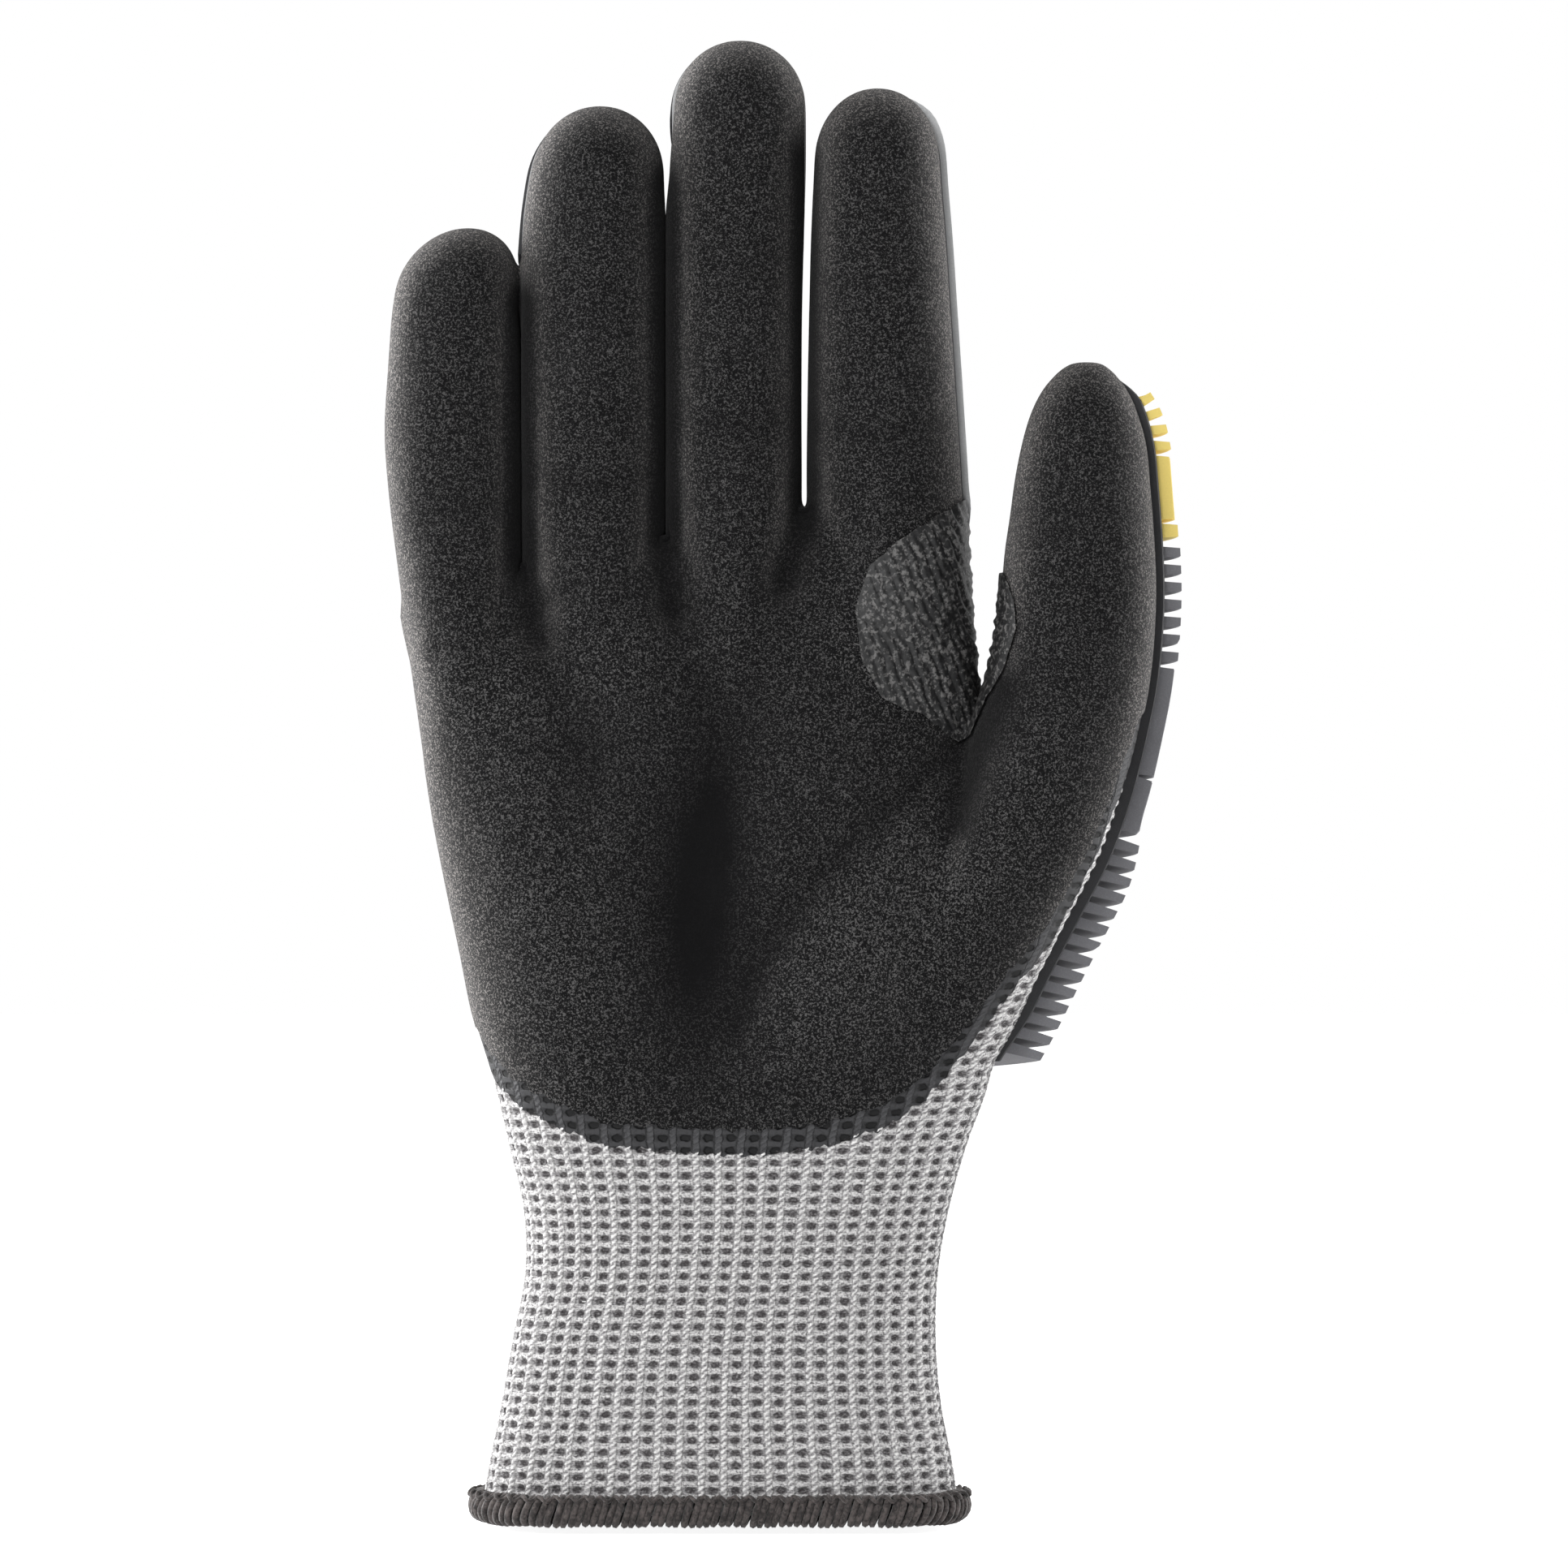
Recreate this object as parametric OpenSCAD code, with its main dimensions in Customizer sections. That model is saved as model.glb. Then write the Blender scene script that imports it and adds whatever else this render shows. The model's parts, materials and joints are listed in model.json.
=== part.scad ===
// Cut-resistant work glove with moulded back guards, for the right hand.
// The fingers point up (+Z), the palm faces -Y and the thumb is on the +X side.
// The origin is the middle of the wrist opening, on the plane of the hem's edge.

/* [Cuff] */
// Width of the hem around the wrist opening
hem_w = 85; // [80:1:88]
// Depth of the hem from front to back
hem_d = 31; // [29:1:33]
// Height of the overlocked hem
hem_h = 4.6; // [3.6:0.2:5.4]
// Height of the knitted cuff's top edge
cuff_top = 62; // [58:1:64]

/* [Fabric] */
// Thickness of the knitted liner
knit_t = 1.2; // [1:0.1:1.4]
// Thickness of the nitrile coat, both layers together
coat_t = 1; // [0.8:0.1:1.2]
// Thickness of the patch in the thumb's crotch, on top of the coat
patch_t = 0.6; // [0.4:0.1:0.8]
// Height at which the lowest point of the grip coat ends
coat_foot = 67; // [65:1:70]

/* [Fingers] */
// Length of the index finger above its crotch
index_l = 71; // [68:1:74]
// Length of the middle finger above its crotch
middle_l = 79; // [76:1:82]
// Length of the ring finger above its crotch
ring_l = 72; // [69:1:75]
// Length of the little finger above its crotch
little_l = 57.5; // [55:0.5:60]
// Height of the thumb's tip above the hem's edge
thumb_top = 195.5; // [193:0.5:198]
// Radius of the thumb over its coat
thumb_r = 12; // [11.5:0.1:12.4]

/* [Motion] */
// Bend of each finger at its base, in degrees
base_bend = 70; // [50:5:75]
// Bend of each finger at its middle joint, in degrees
middle_bend = 75; // [50:5:80]
// Bend at the tip joint as a share of the middle joint's
tip_share = 0.5; // [0.4:0.05:0.6]
// Swing of the thumb in front of the palm, in degrees
thumb_swing = 40; // [30:5:45]
// Bend of the thumb's tip, in degrees
thumb_bend = 45; // [35:5:50]

/* [Guards] */
// Thickness of a guard's base
guard_t = 1.5; // [1.2:0.1:1.8]
// Height of the bumpers and ribs above a guard's base
lug_h = 2.4; // [2:0.2:2.8]
// Distance from rib to rib
rib_pitch = 2.8; // [2.6:0.1:3.2]
// Width of one rib
rib_w = 1.6; // [1.4:0.1:1.8]

/* [Hidden] */
$fn = 64;
HULL_FN = 28;
// clearance between neighbouring layers, between coat pieces and between bodies
SKIN = 0.05;
SEAM = 0.1;
GAP = 0.3;
// share of the coat's thickness that is the smooth base layer
BASE_SHARE = 0.5;

// the coat wraps round the hand's sides this far behind the middle plane
COAT_BACK_Y = 3.4;

// Joints stand at these shares of a finger's length above its crotch, this far in front of its axis
KNUCKLE = 0.12;
MIDDLE = 0.35;
TIP = 0.63;
PIVOT_Y = -2.5;
// each wedge has this much more room than its joint's bend needs, in degrees
SLACK = 1.5;
tip_bend = middle_bend * tip_share;

// name, axis x, crotch height, length, radius over the coat
FINGERS = [
    ["index", 27.8, 171, index_l, 12],
    ["middle", 3, 171, middle_l, 11.5],
    ["ring", -21, 167, ring_l, 11.6],
    ["little", -44.5, 161, little_l, 11.2],
];
FINGER_NAMES = [for (f = FINGERS) f[0]];
THUMB_X = 60.3;
THUMB_Y = -7;
THUMB_BASE_Z = 149;
THUMB_BEND_Z = 172;
// the thumb's tip bends this way round from the palm's own direction
THUMB_TURN = -35;
// middle of the thumb guard, turned from +X towards +Y
THUMB_GUARD_TURN = 35;
// half of the angle that the thumb's guard, its ribs and its bumper cover
THUMB_GUARD_HALF_SPAN = 52;
THUMB_RIB_HALF_SPAN = 40;
THUMB_BUMPER_HALF_SPAN = 34;
// half of the angle that a finger's guard covers, and how far its lugs stay inside that
GUARD_HALF_SPAN = 60;
BLOCK_INSET = 22;
RIB_INSET = 16;
// the coat goes round a finger and round the thumb between these angles
COAT_SPAN = [155, 385];
THUMB_COAT_SPAN = [100, 338];
// the grip coat's lower edge is part of this circle
BOWL_X = 2;
BOWL_R = 60;
// how much lower the base coat goes than the grip coat
BASE_COAT_BAND = 4;
// the crotch patch is part of this circle, to the right of PATCH_LEFT
PATCH_X = 38;
PATCH_Z = 150;
PATCH_R = 15;
PATCH_LEFT = 34;
// half widths of the guard on the thumb's root and of its ribs, seen from the palm side
ROOT_GUARD_W = 9;
ROOT_RIB_W = 7.5;
// row of stitches along the knuckle guard's lower edge: count, pitch, first x and height
STITCHES = 10;
STITCH_PITCH = 6.4;
STITCH_X = -33;
STITCH_Z = 130.3;

// Sections of the hand over its coat: height, left x, right x, front y, back y
HAND = [
    [cuff_top, -35.5, 41, -15, 15],
    [72, -38, 43.5, -16.5, 15.5],
    [84, -41, 45, -17.5, 16],
    [100, -45, 45, -17.5, 16],
    [120, -48.5, 44, -17, 16],
    [138, -51.5, 43, -16, 15],
    [150, -53, 42.5, -14, 13.5],
    [160, -55.5, 40, -12, 12],
];
// Sections of the cuff over the same surface
CUFF = [
    [hem_h, -hem_w / 2 + 1.5, hem_w / 2 - 1.5, -hem_d / 2 + 1, hem_d / 2 - 1],
    [15, -38, 38.5, -14.5, 14.5],
    [28, -35.5, 37, -14, 14],
    [42, -33, 36.5, -14, 14],
    [50, -33, 37.5, -14, 14],
    [cuff_top, -35.5, 41, -15, 15],
];
// Balls along the thumb's root: x, y, z, radius over the coat
THUMB_ROOT = [
    [22, -1, 74, 12],
    [42, -3, 95, 13],
    [52.5, -5, 124, 14.5],
    [THUMB_X, THUMB_Y, 143, thumb_r],
];
HAND_TOP = HAND[len(HAND) - 1][0];
FAR = 200;

// ---------- the hand's form ----------

// One thin section, grown by g all round
module section(s, g) {
    r = (s[4] - s[3]) / 2;
    for (x = [s[1] + r, s[2] - r])
        translate([x, (s[3] + s[4]) / 2, s[0]])
            cylinder(r = r + g, h = 0.02, $fn = HULL_FN);
}

// A skin-tight chain through a list of sections
module chain(sections, g) {
    for (i = [0 : len(sections) - 2])
        hull() {
            section(sections[i], g);
            section(sections[i + 1], g);
        }
}

module thumb_root(g) {
    for (i = [0 : len(THUMB_ROOT) - 2])
        hull()
            for (b = [THUMB_ROOT[i], THUMB_ROOT[i + 1]])
                translate([b[0], b[1], b[2]])
                    sphere(r = b[3] + g, $fn = HULL_FN);
}

module hand_form(g) {
    chain(HAND, g);
    thumb_root(g);
}

// The layer of the hand from g0 to g1, where 0 is the coat's outer face
module hand_layer(g0, g1) {
    difference() {
        hand_form(g1);
        hand_form(g0);
        // open ends, and nothing below the cuff's top edge
        for (z = [cuff_top - FAR / 2, HAND_TOP + FAR / 2])
            translate([0, 0, z])
                cube(FAR, center = true);
        // the thumb's own coat starts just above
        translate([0, 0, -2 * SEAM])
            thumb_bore(thumb_r + 3);
    }
}

module finger_bore(f, r) {
    translate([f[1], 0, HAND_TOP - 8])
        cylinder(r = r, h = FAR);
}

module thumb_bore(r) {
    translate([THUMB_X, THUMB_Y, THUMB_ROOT[3][2]])
        cylinder(r = r, h = FAR);
}

// ---------- fingers ----------

function base_z(f) = f[2] + KNUCKLE * f[3];
function middle_z(f) = f[2] + MIDDLE * f[3];
function tip_z(f) = f[2] + TIP * f[3];
function end_z(f) = f[2] + f[3];

// Half of a round-ended rod's outline, from z0 up to its rounded end at z1
module rod_outline(r, z0, z1) {
    translate([0, z0])
        square([r, z1 - r - z0]);
    translate([0, z1 - r])
        intersection() {
            circle(r);
            square(r);
        }
}

// Outline of a wall between two radii; with an end it closes over the tip
module wall_outline(r_in, r_out, z0, z1, closed) {
    if (closed)
        difference() {
            rod_outline(r_out, z0, z1);
            translate([0, z0 - 1])
                rod_outline(r_in, 0, z1 - r_out + r_in - z0 + 1);
        }
    else
        translate([r_in, z0])
            square([r_out - r_in, z1 - z0]);
}

// What a joint leaves above it: a flat end behind the pivot and a wedge in front of it
module above_pivot(z, bend) {
    reach = 30;
    low = z + GAP / 2;
    rotate([90, 0, 90])
        translate([PIVOT_Y, 0, -reach])
            linear_extrude(2 * reach)
                polygon([
                    [reach, low],
                    [0, low],
                    [-reach, low + reach * tan(bend / 2 + SLACK)],
                    [-reach, low + FAR],
                    [reach, low + FAR],
                ]);
}

module below_pivot(z, bend) {
    mirror([0, 0, 1])
        above_pivot(-z, bend);
}

// A part ring around the Z axis, from angle a0 to a1
module arc(r_in, r_out, z0, z1, a0, a1, closed = false) {
    rotate([0, 0, a0])
        rotate_extrude(angle = a1 - a0)
            wall_outline(r_in, r_out, z0, z1, closed);
}

module finger_liner(f, at) {
    r_out = f[4] - coat_t;
    r_in = r_out - knit_t;
    color("gainsboro")
        translate([f[1], 0, 0])
            intersection() {
                rotate_extrude()
                    wall_outline(r_in, r_out, base_z(f) - 1, end_z(f) - coat_t, true);
                if (at == "base")
                    above_pivot(base_z(f), base_bend);
                if (at == "base")
                    below_pivot(middle_z(f), middle_bend);
                if (at == "middle")
                    above_pivot(middle_z(f), middle_bend);
                if (at == "middle")
                    below_pivot(tip_z(f), tip_bend);
                if (at == "tip")
                    above_pivot(tip_z(f), tip_bend);
            }
}

// A stretch of coat of outer radius r over a stall
module coat_arc(r, z0, z1, span, closed = false) {
    arc(r - coat_t + SKIN, r, z0, z1, span[0], span[1], closed);
}

// The coat crosses each joint and ends half way along each stall
module finger_coat(f, at) {
    low_cut = (base_z(f) + middle_z(f)) / 2;
    high_cut = (middle_z(f) + tip_z(f)) / 2;
    color("dimgray")
        translate([f[1], 0, 0]) {
            if (at == "base")
                coat_arc(f[4], HAND_TOP + SEAM, low_cut - SEAM, COAT_SPAN);
            if (at == "middle")
                coat_arc(f[4], low_cut, high_cut - SEAM, COAT_SPAN);
            if (at == "tip")
                coat_arc(f[4], high_cut, end_z(f), COAT_SPAN, true);
        }
}

// A guard's base with its cross ribs, over the back of one stall
module ribbed_guard(r, z0, z1, block_z) {
    half_span = GUARD_HALF_SPAN;
    r0 = r - coat_t + SKIN;
    r_top = r0 + guard_t + lug_h;
    arc(r0, r0 + guard_t, z0, z1, 90 - half_span, 90 + half_span);
    // a solid bumper up to block_z, ribs above it
    if (block_z > z0)
        arc(r0 + guard_t / 2, r_top, z0 + 0.8, block_z, 90 - half_span + BLOCK_INSET, 90 + half_span - BLOCK_INSET);
    for (z = [max(block_z, z0) + 1.2 : rib_pitch : z1 - rib_w - 0.4])
        arc(r0 + guard_t / 2, r_top, z, z + rib_w, 90 - half_span + RIB_INSET, 90 + half_span - RIB_INSET);
}

module finger_guard(f, at) {
    z_tip = end_z(f) - f[4];
    translate([f[1], 0, 0]) {
        if (at == "base")
            color("gray")
                ribbed_guard(f[4], base_z(f) + GAP, middle_z(f) - GAP, base_z(f) + 9);
        if (at == "middle")
            color("gray")
                ribbed_guard(f[4], middle_z(f) + GAP, tip_z(f) - GAP, middle_z(f));
        if (at == "tip")
            color("khaki")
                ribbed_guard(f[4], tip_z(f) + GAP, z_tip + 2, tip_z(f) + 7);
    }
}

// ---------- thumb ----------

module at_thumb() {
    translate([THUMB_X, THUMB_Y, 0])
        children();
}

module thumb_liner(at) {
    r_out = thumb_r - coat_t;
    color("gainsboro")
        at_thumb()
            intersection() {
                rotate_extrude()
                    wall_outline(r_out - knit_t, r_out, THUMB_BASE_Z - 1, thumb_top - coat_t, true);
                if (at == "base")
                    intersection() {
                        above_pivot(THUMB_BASE_Z, thumb_swing);
                        rotate([0, 0, THUMB_TURN])
                            below_pivot(THUMB_BEND_Z, thumb_bend);
                    }
                if (at == "tip")
                    rotate([0, 0, THUMB_TURN])
                        above_pivot(THUMB_BEND_Z, thumb_bend);
            }
}

module thumb_coat(at) {
    cut = (THUMB_BASE_Z + THUMB_BEND_Z) / 2;
    low = THUMB_ROOT[3][2];
    color("dimgray")
        difference() {
            at_thumb() {
                if (at == "base")
                    coat_arc(thumb_r, low + SEAM, cut - SEAM, THUMB_COAT_SPAN);
                if (at == "tip")
                    coat_arc(thumb_r, cut, thumb_top, THUMB_COAT_SPAN, true);
            }
            thumb_root(-coat_t + SKIN);
        }
}

// One stretch of the thumb guard, spanning the given angle to each side of its middle
module thumb_arc(r0, r1, z0, z1, half_span) {
    at_thumb()
        arc(r0, r1, z0, z1, THUMB_GUARD_TURN - half_span, THUMB_GUARD_TURN + half_span);
}

module thumb_guard(at) {
    r0 = thumb_r - coat_t + SKIN;
    color("dimgray") {
        if (at == "base")
            thumb_arc(r0, r0 + guard_t, THUMB_BASE_Z + GAP, THUMB_BEND_Z - GAP, THUMB_GUARD_HALF_SPAN);
        if (at == "tip")
            thumb_arc(r0, r0 + guard_t, THUMB_BEND_Z + GAP, thumb_top - thumb_r + 3, THUMB_GUARD_HALF_SPAN);
    }
}

module thumb_ribs() {
    r0 = thumb_r - coat_t + SKIN + guard_t;
    color("gray")
        for (z = [THUMB_BASE_Z + 1 : rib_pitch : THUMB_BEND_Z - rib_w - 3])
            thumb_arc(r0 + SKIN, r0 + lug_h, z, z + rib_w, THUMB_RIB_HALF_SPAN);
}

module thumb_bumper() {
    r0 = thumb_r - coat_t + SKIN + guard_t;
    color("khaki") {
        thumb_arc(r0 + SKIN, r0 + lug_h, THUMB_BEND_Z + 1, THUMB_BEND_Z + 8, THUMB_BUMPER_HALF_SPAN);
        for (z = [THUMB_BEND_Z + 9.2 : rib_pitch - 0.8 : thumb_top - thumb_r + 1])
            thumb_arc(r0 + SKIN, r0 + lug_h * 0.8, z, z + rib_w * 0.7, THUMB_BUMPER_HALF_SPAN);
    }
}

// ---------- hand ----------

// Collars that carry the fingers and the thumb up to their first pivots
module finger_collars() {
    for (f = FINGERS)
        translate([f[1], 0, 0])
            intersection() {
                translate([0, 0, HAND_TOP - 0.02])
                    cylinder(r = f[4] - coat_t, h = base_z(f) - HAND_TOP + 0.02);
                below_pivot(base_z(f), base_bend);
            }
}

module thumb_collar() {
    low = THUMB_ROOT[3][2];
    at_thumb()
        intersection() {
            translate([0, 0, low])
                cylinder(r = thumb_r - coat_t, h = THUMB_BASE_Z - low);
            below_pivot(THUMB_BASE_Z, thumb_swing);
        }
}

// The thumb root's ball stands higher than its collar's wedge, so the wedge is cut from both
module thumb_wedge() {
    at_thumb()
        difference() {
            translate([-thumb_r, -thumb_r, THUMB_BASE_Z - thumb_r])
                cube(2 * thumb_r);
            below_pivot(THUMB_BASE_Z, thumb_swing);
        }
}

module hand_liner() {
    inner = -coat_t - knit_t;
    color("gainsboro")
        difference() {
            union() {
                hand_form(-coat_t);
                finger_collars();
                thumb_collar();
            }
            chain([for (s = HAND) [min(s[0], HAND_TOP - knit_t), s[1], s[2], s[3], s[4]]], inner);
            thumb_root(inner);
            for (f = FINGERS)
                finger_bore(f, f[4] + inner);
            thumb_bore(thumb_r + inner);
            thumb_wedge();
            translate([0, 0, cuff_top - FAR / 2])
                cube(FAR, center = true);
        }
}

module cuff_liner() {
    color("gainsboro")
        difference() {
            chain(CUFF, -coat_t);
            chain(CUFF, -coat_t - knit_t);
            for (s = [CUFF[0], CUFF[len(CUFF) - 1]])
                section([s[0] - 0.02, s[1], s[2], s[3], s[4]], -coat_t - knit_t);
        }
}

// A loop round the cuff with flat sides, r its end radius and w its whole width
module loop_outline(w, r) {
    translate([-w / 2 + r, -r])
        square([w - 2 * r, 2 * r]);
    for (x = [-w / 2 + r, w / 2 - r])
        translate([x, 0])
            circle(r);
}

module cuff_hem() {
    color("dimgray")
        linear_extrude(hem_h - SKIN)
            difference() {
                loop_outline(hem_w, hem_d / 2);
                loop_outline(hem_w - 7.4, hem_d / 2 - 3.7);
            }
}

// The overlock's chain of stitches, lying on the hem's top edge
module hem_stitching() {
    r = hem_d / 2 - 0.3;
    w = hem_w - 0.6;
    straight = (w - 2 * r) / 2;
    count = 20;
    color("dimgray")
        for (i = [0 : count - 1], side = [-1, 1])
            translate([-straight + (i + 0.5) * 2 * straight / count, side * r, hem_h + 0.5])
                rotate([0, 90, 0])
                    cylinder(r = 0.45, h = 2 * straight / count - 0.5, center = true, $fn = 24);
}

// Covered elastic threads that lie along the cuff's inner face
module cuff_elastic() {
    s = CUFF[2];
    r = (s[4] - s[3]) / 2 - coat_t - knit_t - 0.6;
    w = s[2] - s[1] - 2 * (coat_t + knit_t + 0.6);
    color("white")
        for (z = [30 : 4 : 42])
            translate([(s[1] + s[2]) / 2 + 0.4, 0, z])
                linear_extrude(0.8)
                    difference() {
                        loop_outline(w - 4, r);
                        loop_outline(w - 5.6, r - 0.8);
                    }
}

// ---------- coats of the hand ----------

// The front of the hand, above a bowl-shaped edge that rises to both sides
module front_of_hand(foot) {
    intersection() {
        rotate([90, 0, 0])
            linear_extrude(FAR, center = true) {
                translate([BOWL_X, foot + BOWL_R])
                    circle(BOWL_R, $fn = 72);
                translate([-FAR / 2, foot + BOWL_R])
                    square([FAR, FAR]);
            }
        translate([-FAR / 2, -FAR, 0])
            cube([FAR, FAR + COAT_BACK_Y, FAR]);
    }
}

module palm_base_coat() {
    color("dimgray")
        intersection() {
            hand_layer(-coat_t + SKIN, -coat_t * BASE_SHARE);
            front_of_hand(coat_foot - BASE_COAT_BAND);
            not_under_guard();
        }
}

module palm_grip_coat() {
    color([0.2, 0.2, 0.21])
        intersection() {
            hand_layer(-coat_t * BASE_SHARE + SKIN, 0);
            front_of_hand(coat_foot);
            not_under_guard();
        }
}

// The patch's outline, seen from the palm side
module crotch_outline() {
    rotate([90, 0, 0])
        linear_extrude(FAR, center = true)
            intersection() {
                translate([PATCH_X, PATCH_Z])
                    circle(PATCH_R);
                translate([PATCH_LEFT, PATCH_Z - 2 * PATCH_R])
                    square(4 * PATCH_R);
            }
}

module thumb_crotch_patch() {
    color([0.1, 0.1, 0.1])
        intersection() {
            hand_layer(SKIN, patch_t);
            crotch_outline();
            front_of_hand(coat_foot);
            not_under_guard();
        }
}

// ---------- guards of the hand ----------

// The band that follows the thumb's root down to the wrist, seen from the palm side
module root_band(w) {
    rotate([90, 0, 0])
        linear_extrude(FAR, center = true)
            for (i = [1 : len(THUMB_ROOT) - 2])
                polygon([
                    [THUMB_ROOT[i][0] + THUMB_ROOT[i][3] - w, THUMB_ROOT[i][2] - 12 * (i == 1 ? 1 : 0)],
                    [THUMB_ROOT[i][0] + THUMB_ROOT[i][3] + w, THUMB_ROOT[i][2] - 12 * (i == 1 ? 1 : 0)],
                    [THUMB_ROOT[i + 1][0] + thumb_r + w, THUMB_ROOT[i + 1][2]],
                    [THUMB_ROOT[i + 1][0] + thumb_r - w, THUMB_ROOT[i + 1][2]],
                ]);
}

// The side of the thumb's root that its guard covers starts this far forward
GUARD_FRONT_Y = -9;
// and goes this far back
GUARD_DEPTH = 21;

module not_under_guard() {
    difference() {
        translate([-FAR / 2, -FAR / 2, 0])
            cube([FAR, FAR, FAR]);
        intersection() {
            root_band(ROOT_GUARD_W);
            translate([0, GUARD_FRONT_Y - SEAM, 0])
                cube(FAR);
        }
    }
}

module root_guard_region(w) {
    inset = ROOT_GUARD_W - w;
    intersection() {
        root_band(w);
        translate([0, GUARD_FRONT_Y + inset, 0])
            cube([FAR, GUARD_DEPTH - inset, THUMB_ROOT[3][2] - SEAM]);
    }
}

module thumb_root_guard_base() {
    color("dimgray")
        intersection() {
            hand_layer(-coat_t + SKIN, -coat_t + guard_t);
            root_guard_region(ROOT_GUARD_W);
        }
}

module thumb_root_ribs() {
    color("gray")
        intersection() {
            hand_layer(-coat_t + guard_t + SKIN, -coat_t + guard_t + lug_h);
            root_guard_region(ROOT_RIB_W);
            for (z = [84 : rib_pitch : THUMB_ROOT[3][2] - 4])
                translate([0, -FAR / 2, z])
                    cube([FAR, FAR, rib_w]);
        }
}

// The knuckle guard seen from behind: a wide plate with a tail down the hand's back
module knuckle_outline() {
    translate([-48, 128])
        square([80, 28]);
    translate([-30, 92])
        square([44, 37]);
}

module knuckle_guard_base() {
    color("dimgray")
        intersection() {
            hand_layer(-coat_t + SKIN, -coat_t + guard_t);
            rotate([90, 0, 180])
                linear_extrude(FAR)
                    mirror([1, 0])
                        knuckle_outline();
        }
}

// One bumper over each knuckle and three bars on the tail
module knuckle_bumpers() {
    color("gray")
        intersection() {
            hand_layer(-coat_t + guard_t + SKIN, -coat_t + guard_t + lug_h);
            rotate([90, 0, 180])
                linear_extrude(FAR)
                    mirror([1, 0]) {
                        for (f = FINGERS)
                            translate([min(max(f[1], -39), 23) - 8, 132])
                                square([16, 20]);
                        for (z = [96 : 10 : 116])
                            translate([-26, z])
                                square([36, 6]);
                    }
        }
}

// Rows of thread that hold the knuckle guard down, one loop per stitch
module guard_stitching() {
    thread_r = 0.3;
    // the hand's back between its sections at 120 and 138
    share = (STITCH_Z - HAND[4][0]) / (HAND[5][0] - HAND[4][0]);
    back_y = HAND[4][4] + share * (HAND[5][4] - HAND[4][4]);
    color("black")
        for (i = [0 : STITCHES - 1])
            translate([STITCH_X + i * STITCH_PITCH, back_y - coat_t + guard_t + thread_r + 2 * SKIN, STITCH_Z])
                rotate([0, 90, 0])
                    cylinder(r = thread_r, h = 3.4, $fn = 16);
}

hand_liner();
cuff_liner();
cuff_hem();
hem_stitching();
cuff_elastic();
palm_base_coat();
palm_grip_coat();
thumb_crotch_patch();
knuckle_guard_base();
knuckle_bumpers();
thumb_root_guard_base();
thumb_root_ribs();
guard_stitching();
for (f = FINGERS, at = ["base", "middle", "tip"]) {
    finger_liner(f, at);
    finger_coat(f, at);
    finger_guard(f, at);
}
thumb_liner("base");  // thumb_liner_base
thumb_liner("tip");  // thumb_liner_tip
thumb_coat("base");  // thumb_coat_base
thumb_coat("tip");  // thumb_coat_tip
thumb_guard("base");  // thumb_guard_base
thumb_guard("tip");  // thumb_guard_tip
thumb_ribs();
thumb_bumper();
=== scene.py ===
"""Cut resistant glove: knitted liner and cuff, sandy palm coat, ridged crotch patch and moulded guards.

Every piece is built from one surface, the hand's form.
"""

import json
import math

import bmesh
import bpy
import numpy as np
from bpy.props import FloatProperty, FloatVectorProperty, IntProperty, PointerProperty
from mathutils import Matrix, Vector
from mathutils.bvhtree import BVHTree


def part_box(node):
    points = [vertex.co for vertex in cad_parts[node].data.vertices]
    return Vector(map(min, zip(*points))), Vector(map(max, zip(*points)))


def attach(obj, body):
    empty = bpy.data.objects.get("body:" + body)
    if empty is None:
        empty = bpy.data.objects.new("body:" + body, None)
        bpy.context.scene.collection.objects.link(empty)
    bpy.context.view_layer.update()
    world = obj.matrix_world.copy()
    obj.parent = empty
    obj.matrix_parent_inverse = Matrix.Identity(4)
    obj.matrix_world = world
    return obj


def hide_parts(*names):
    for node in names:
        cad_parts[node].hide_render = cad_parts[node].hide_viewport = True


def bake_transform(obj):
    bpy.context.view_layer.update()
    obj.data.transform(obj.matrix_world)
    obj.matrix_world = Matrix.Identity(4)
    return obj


bl_info = {
    "name": "Cut Resistant Glove",
    "version": (1, 0, 0),
    "blender": (4, 5, 0),
    "location": "View3D > Sidebar > Glove",
    "description": "Builds a knitted work glove with a coated palm and moulded guards",
    "category": "Add Mesh",
}

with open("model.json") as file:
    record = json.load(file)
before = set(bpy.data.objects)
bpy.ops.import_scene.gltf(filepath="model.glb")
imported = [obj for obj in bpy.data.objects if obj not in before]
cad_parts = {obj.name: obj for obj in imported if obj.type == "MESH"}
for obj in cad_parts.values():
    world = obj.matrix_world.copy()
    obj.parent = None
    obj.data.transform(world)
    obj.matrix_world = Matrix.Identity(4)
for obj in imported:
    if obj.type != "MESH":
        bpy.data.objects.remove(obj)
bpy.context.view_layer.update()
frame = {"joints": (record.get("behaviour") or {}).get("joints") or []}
MM = 0.001
# past the hand to its sides, to its front and back, and upwards
FAR, DEEP, ABOVE = 90.0, 60.0, 300.0

# ---------- the hand's form, in millimetres ----------

FINGERS = ("index", "middle", "ring", "little")
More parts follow.
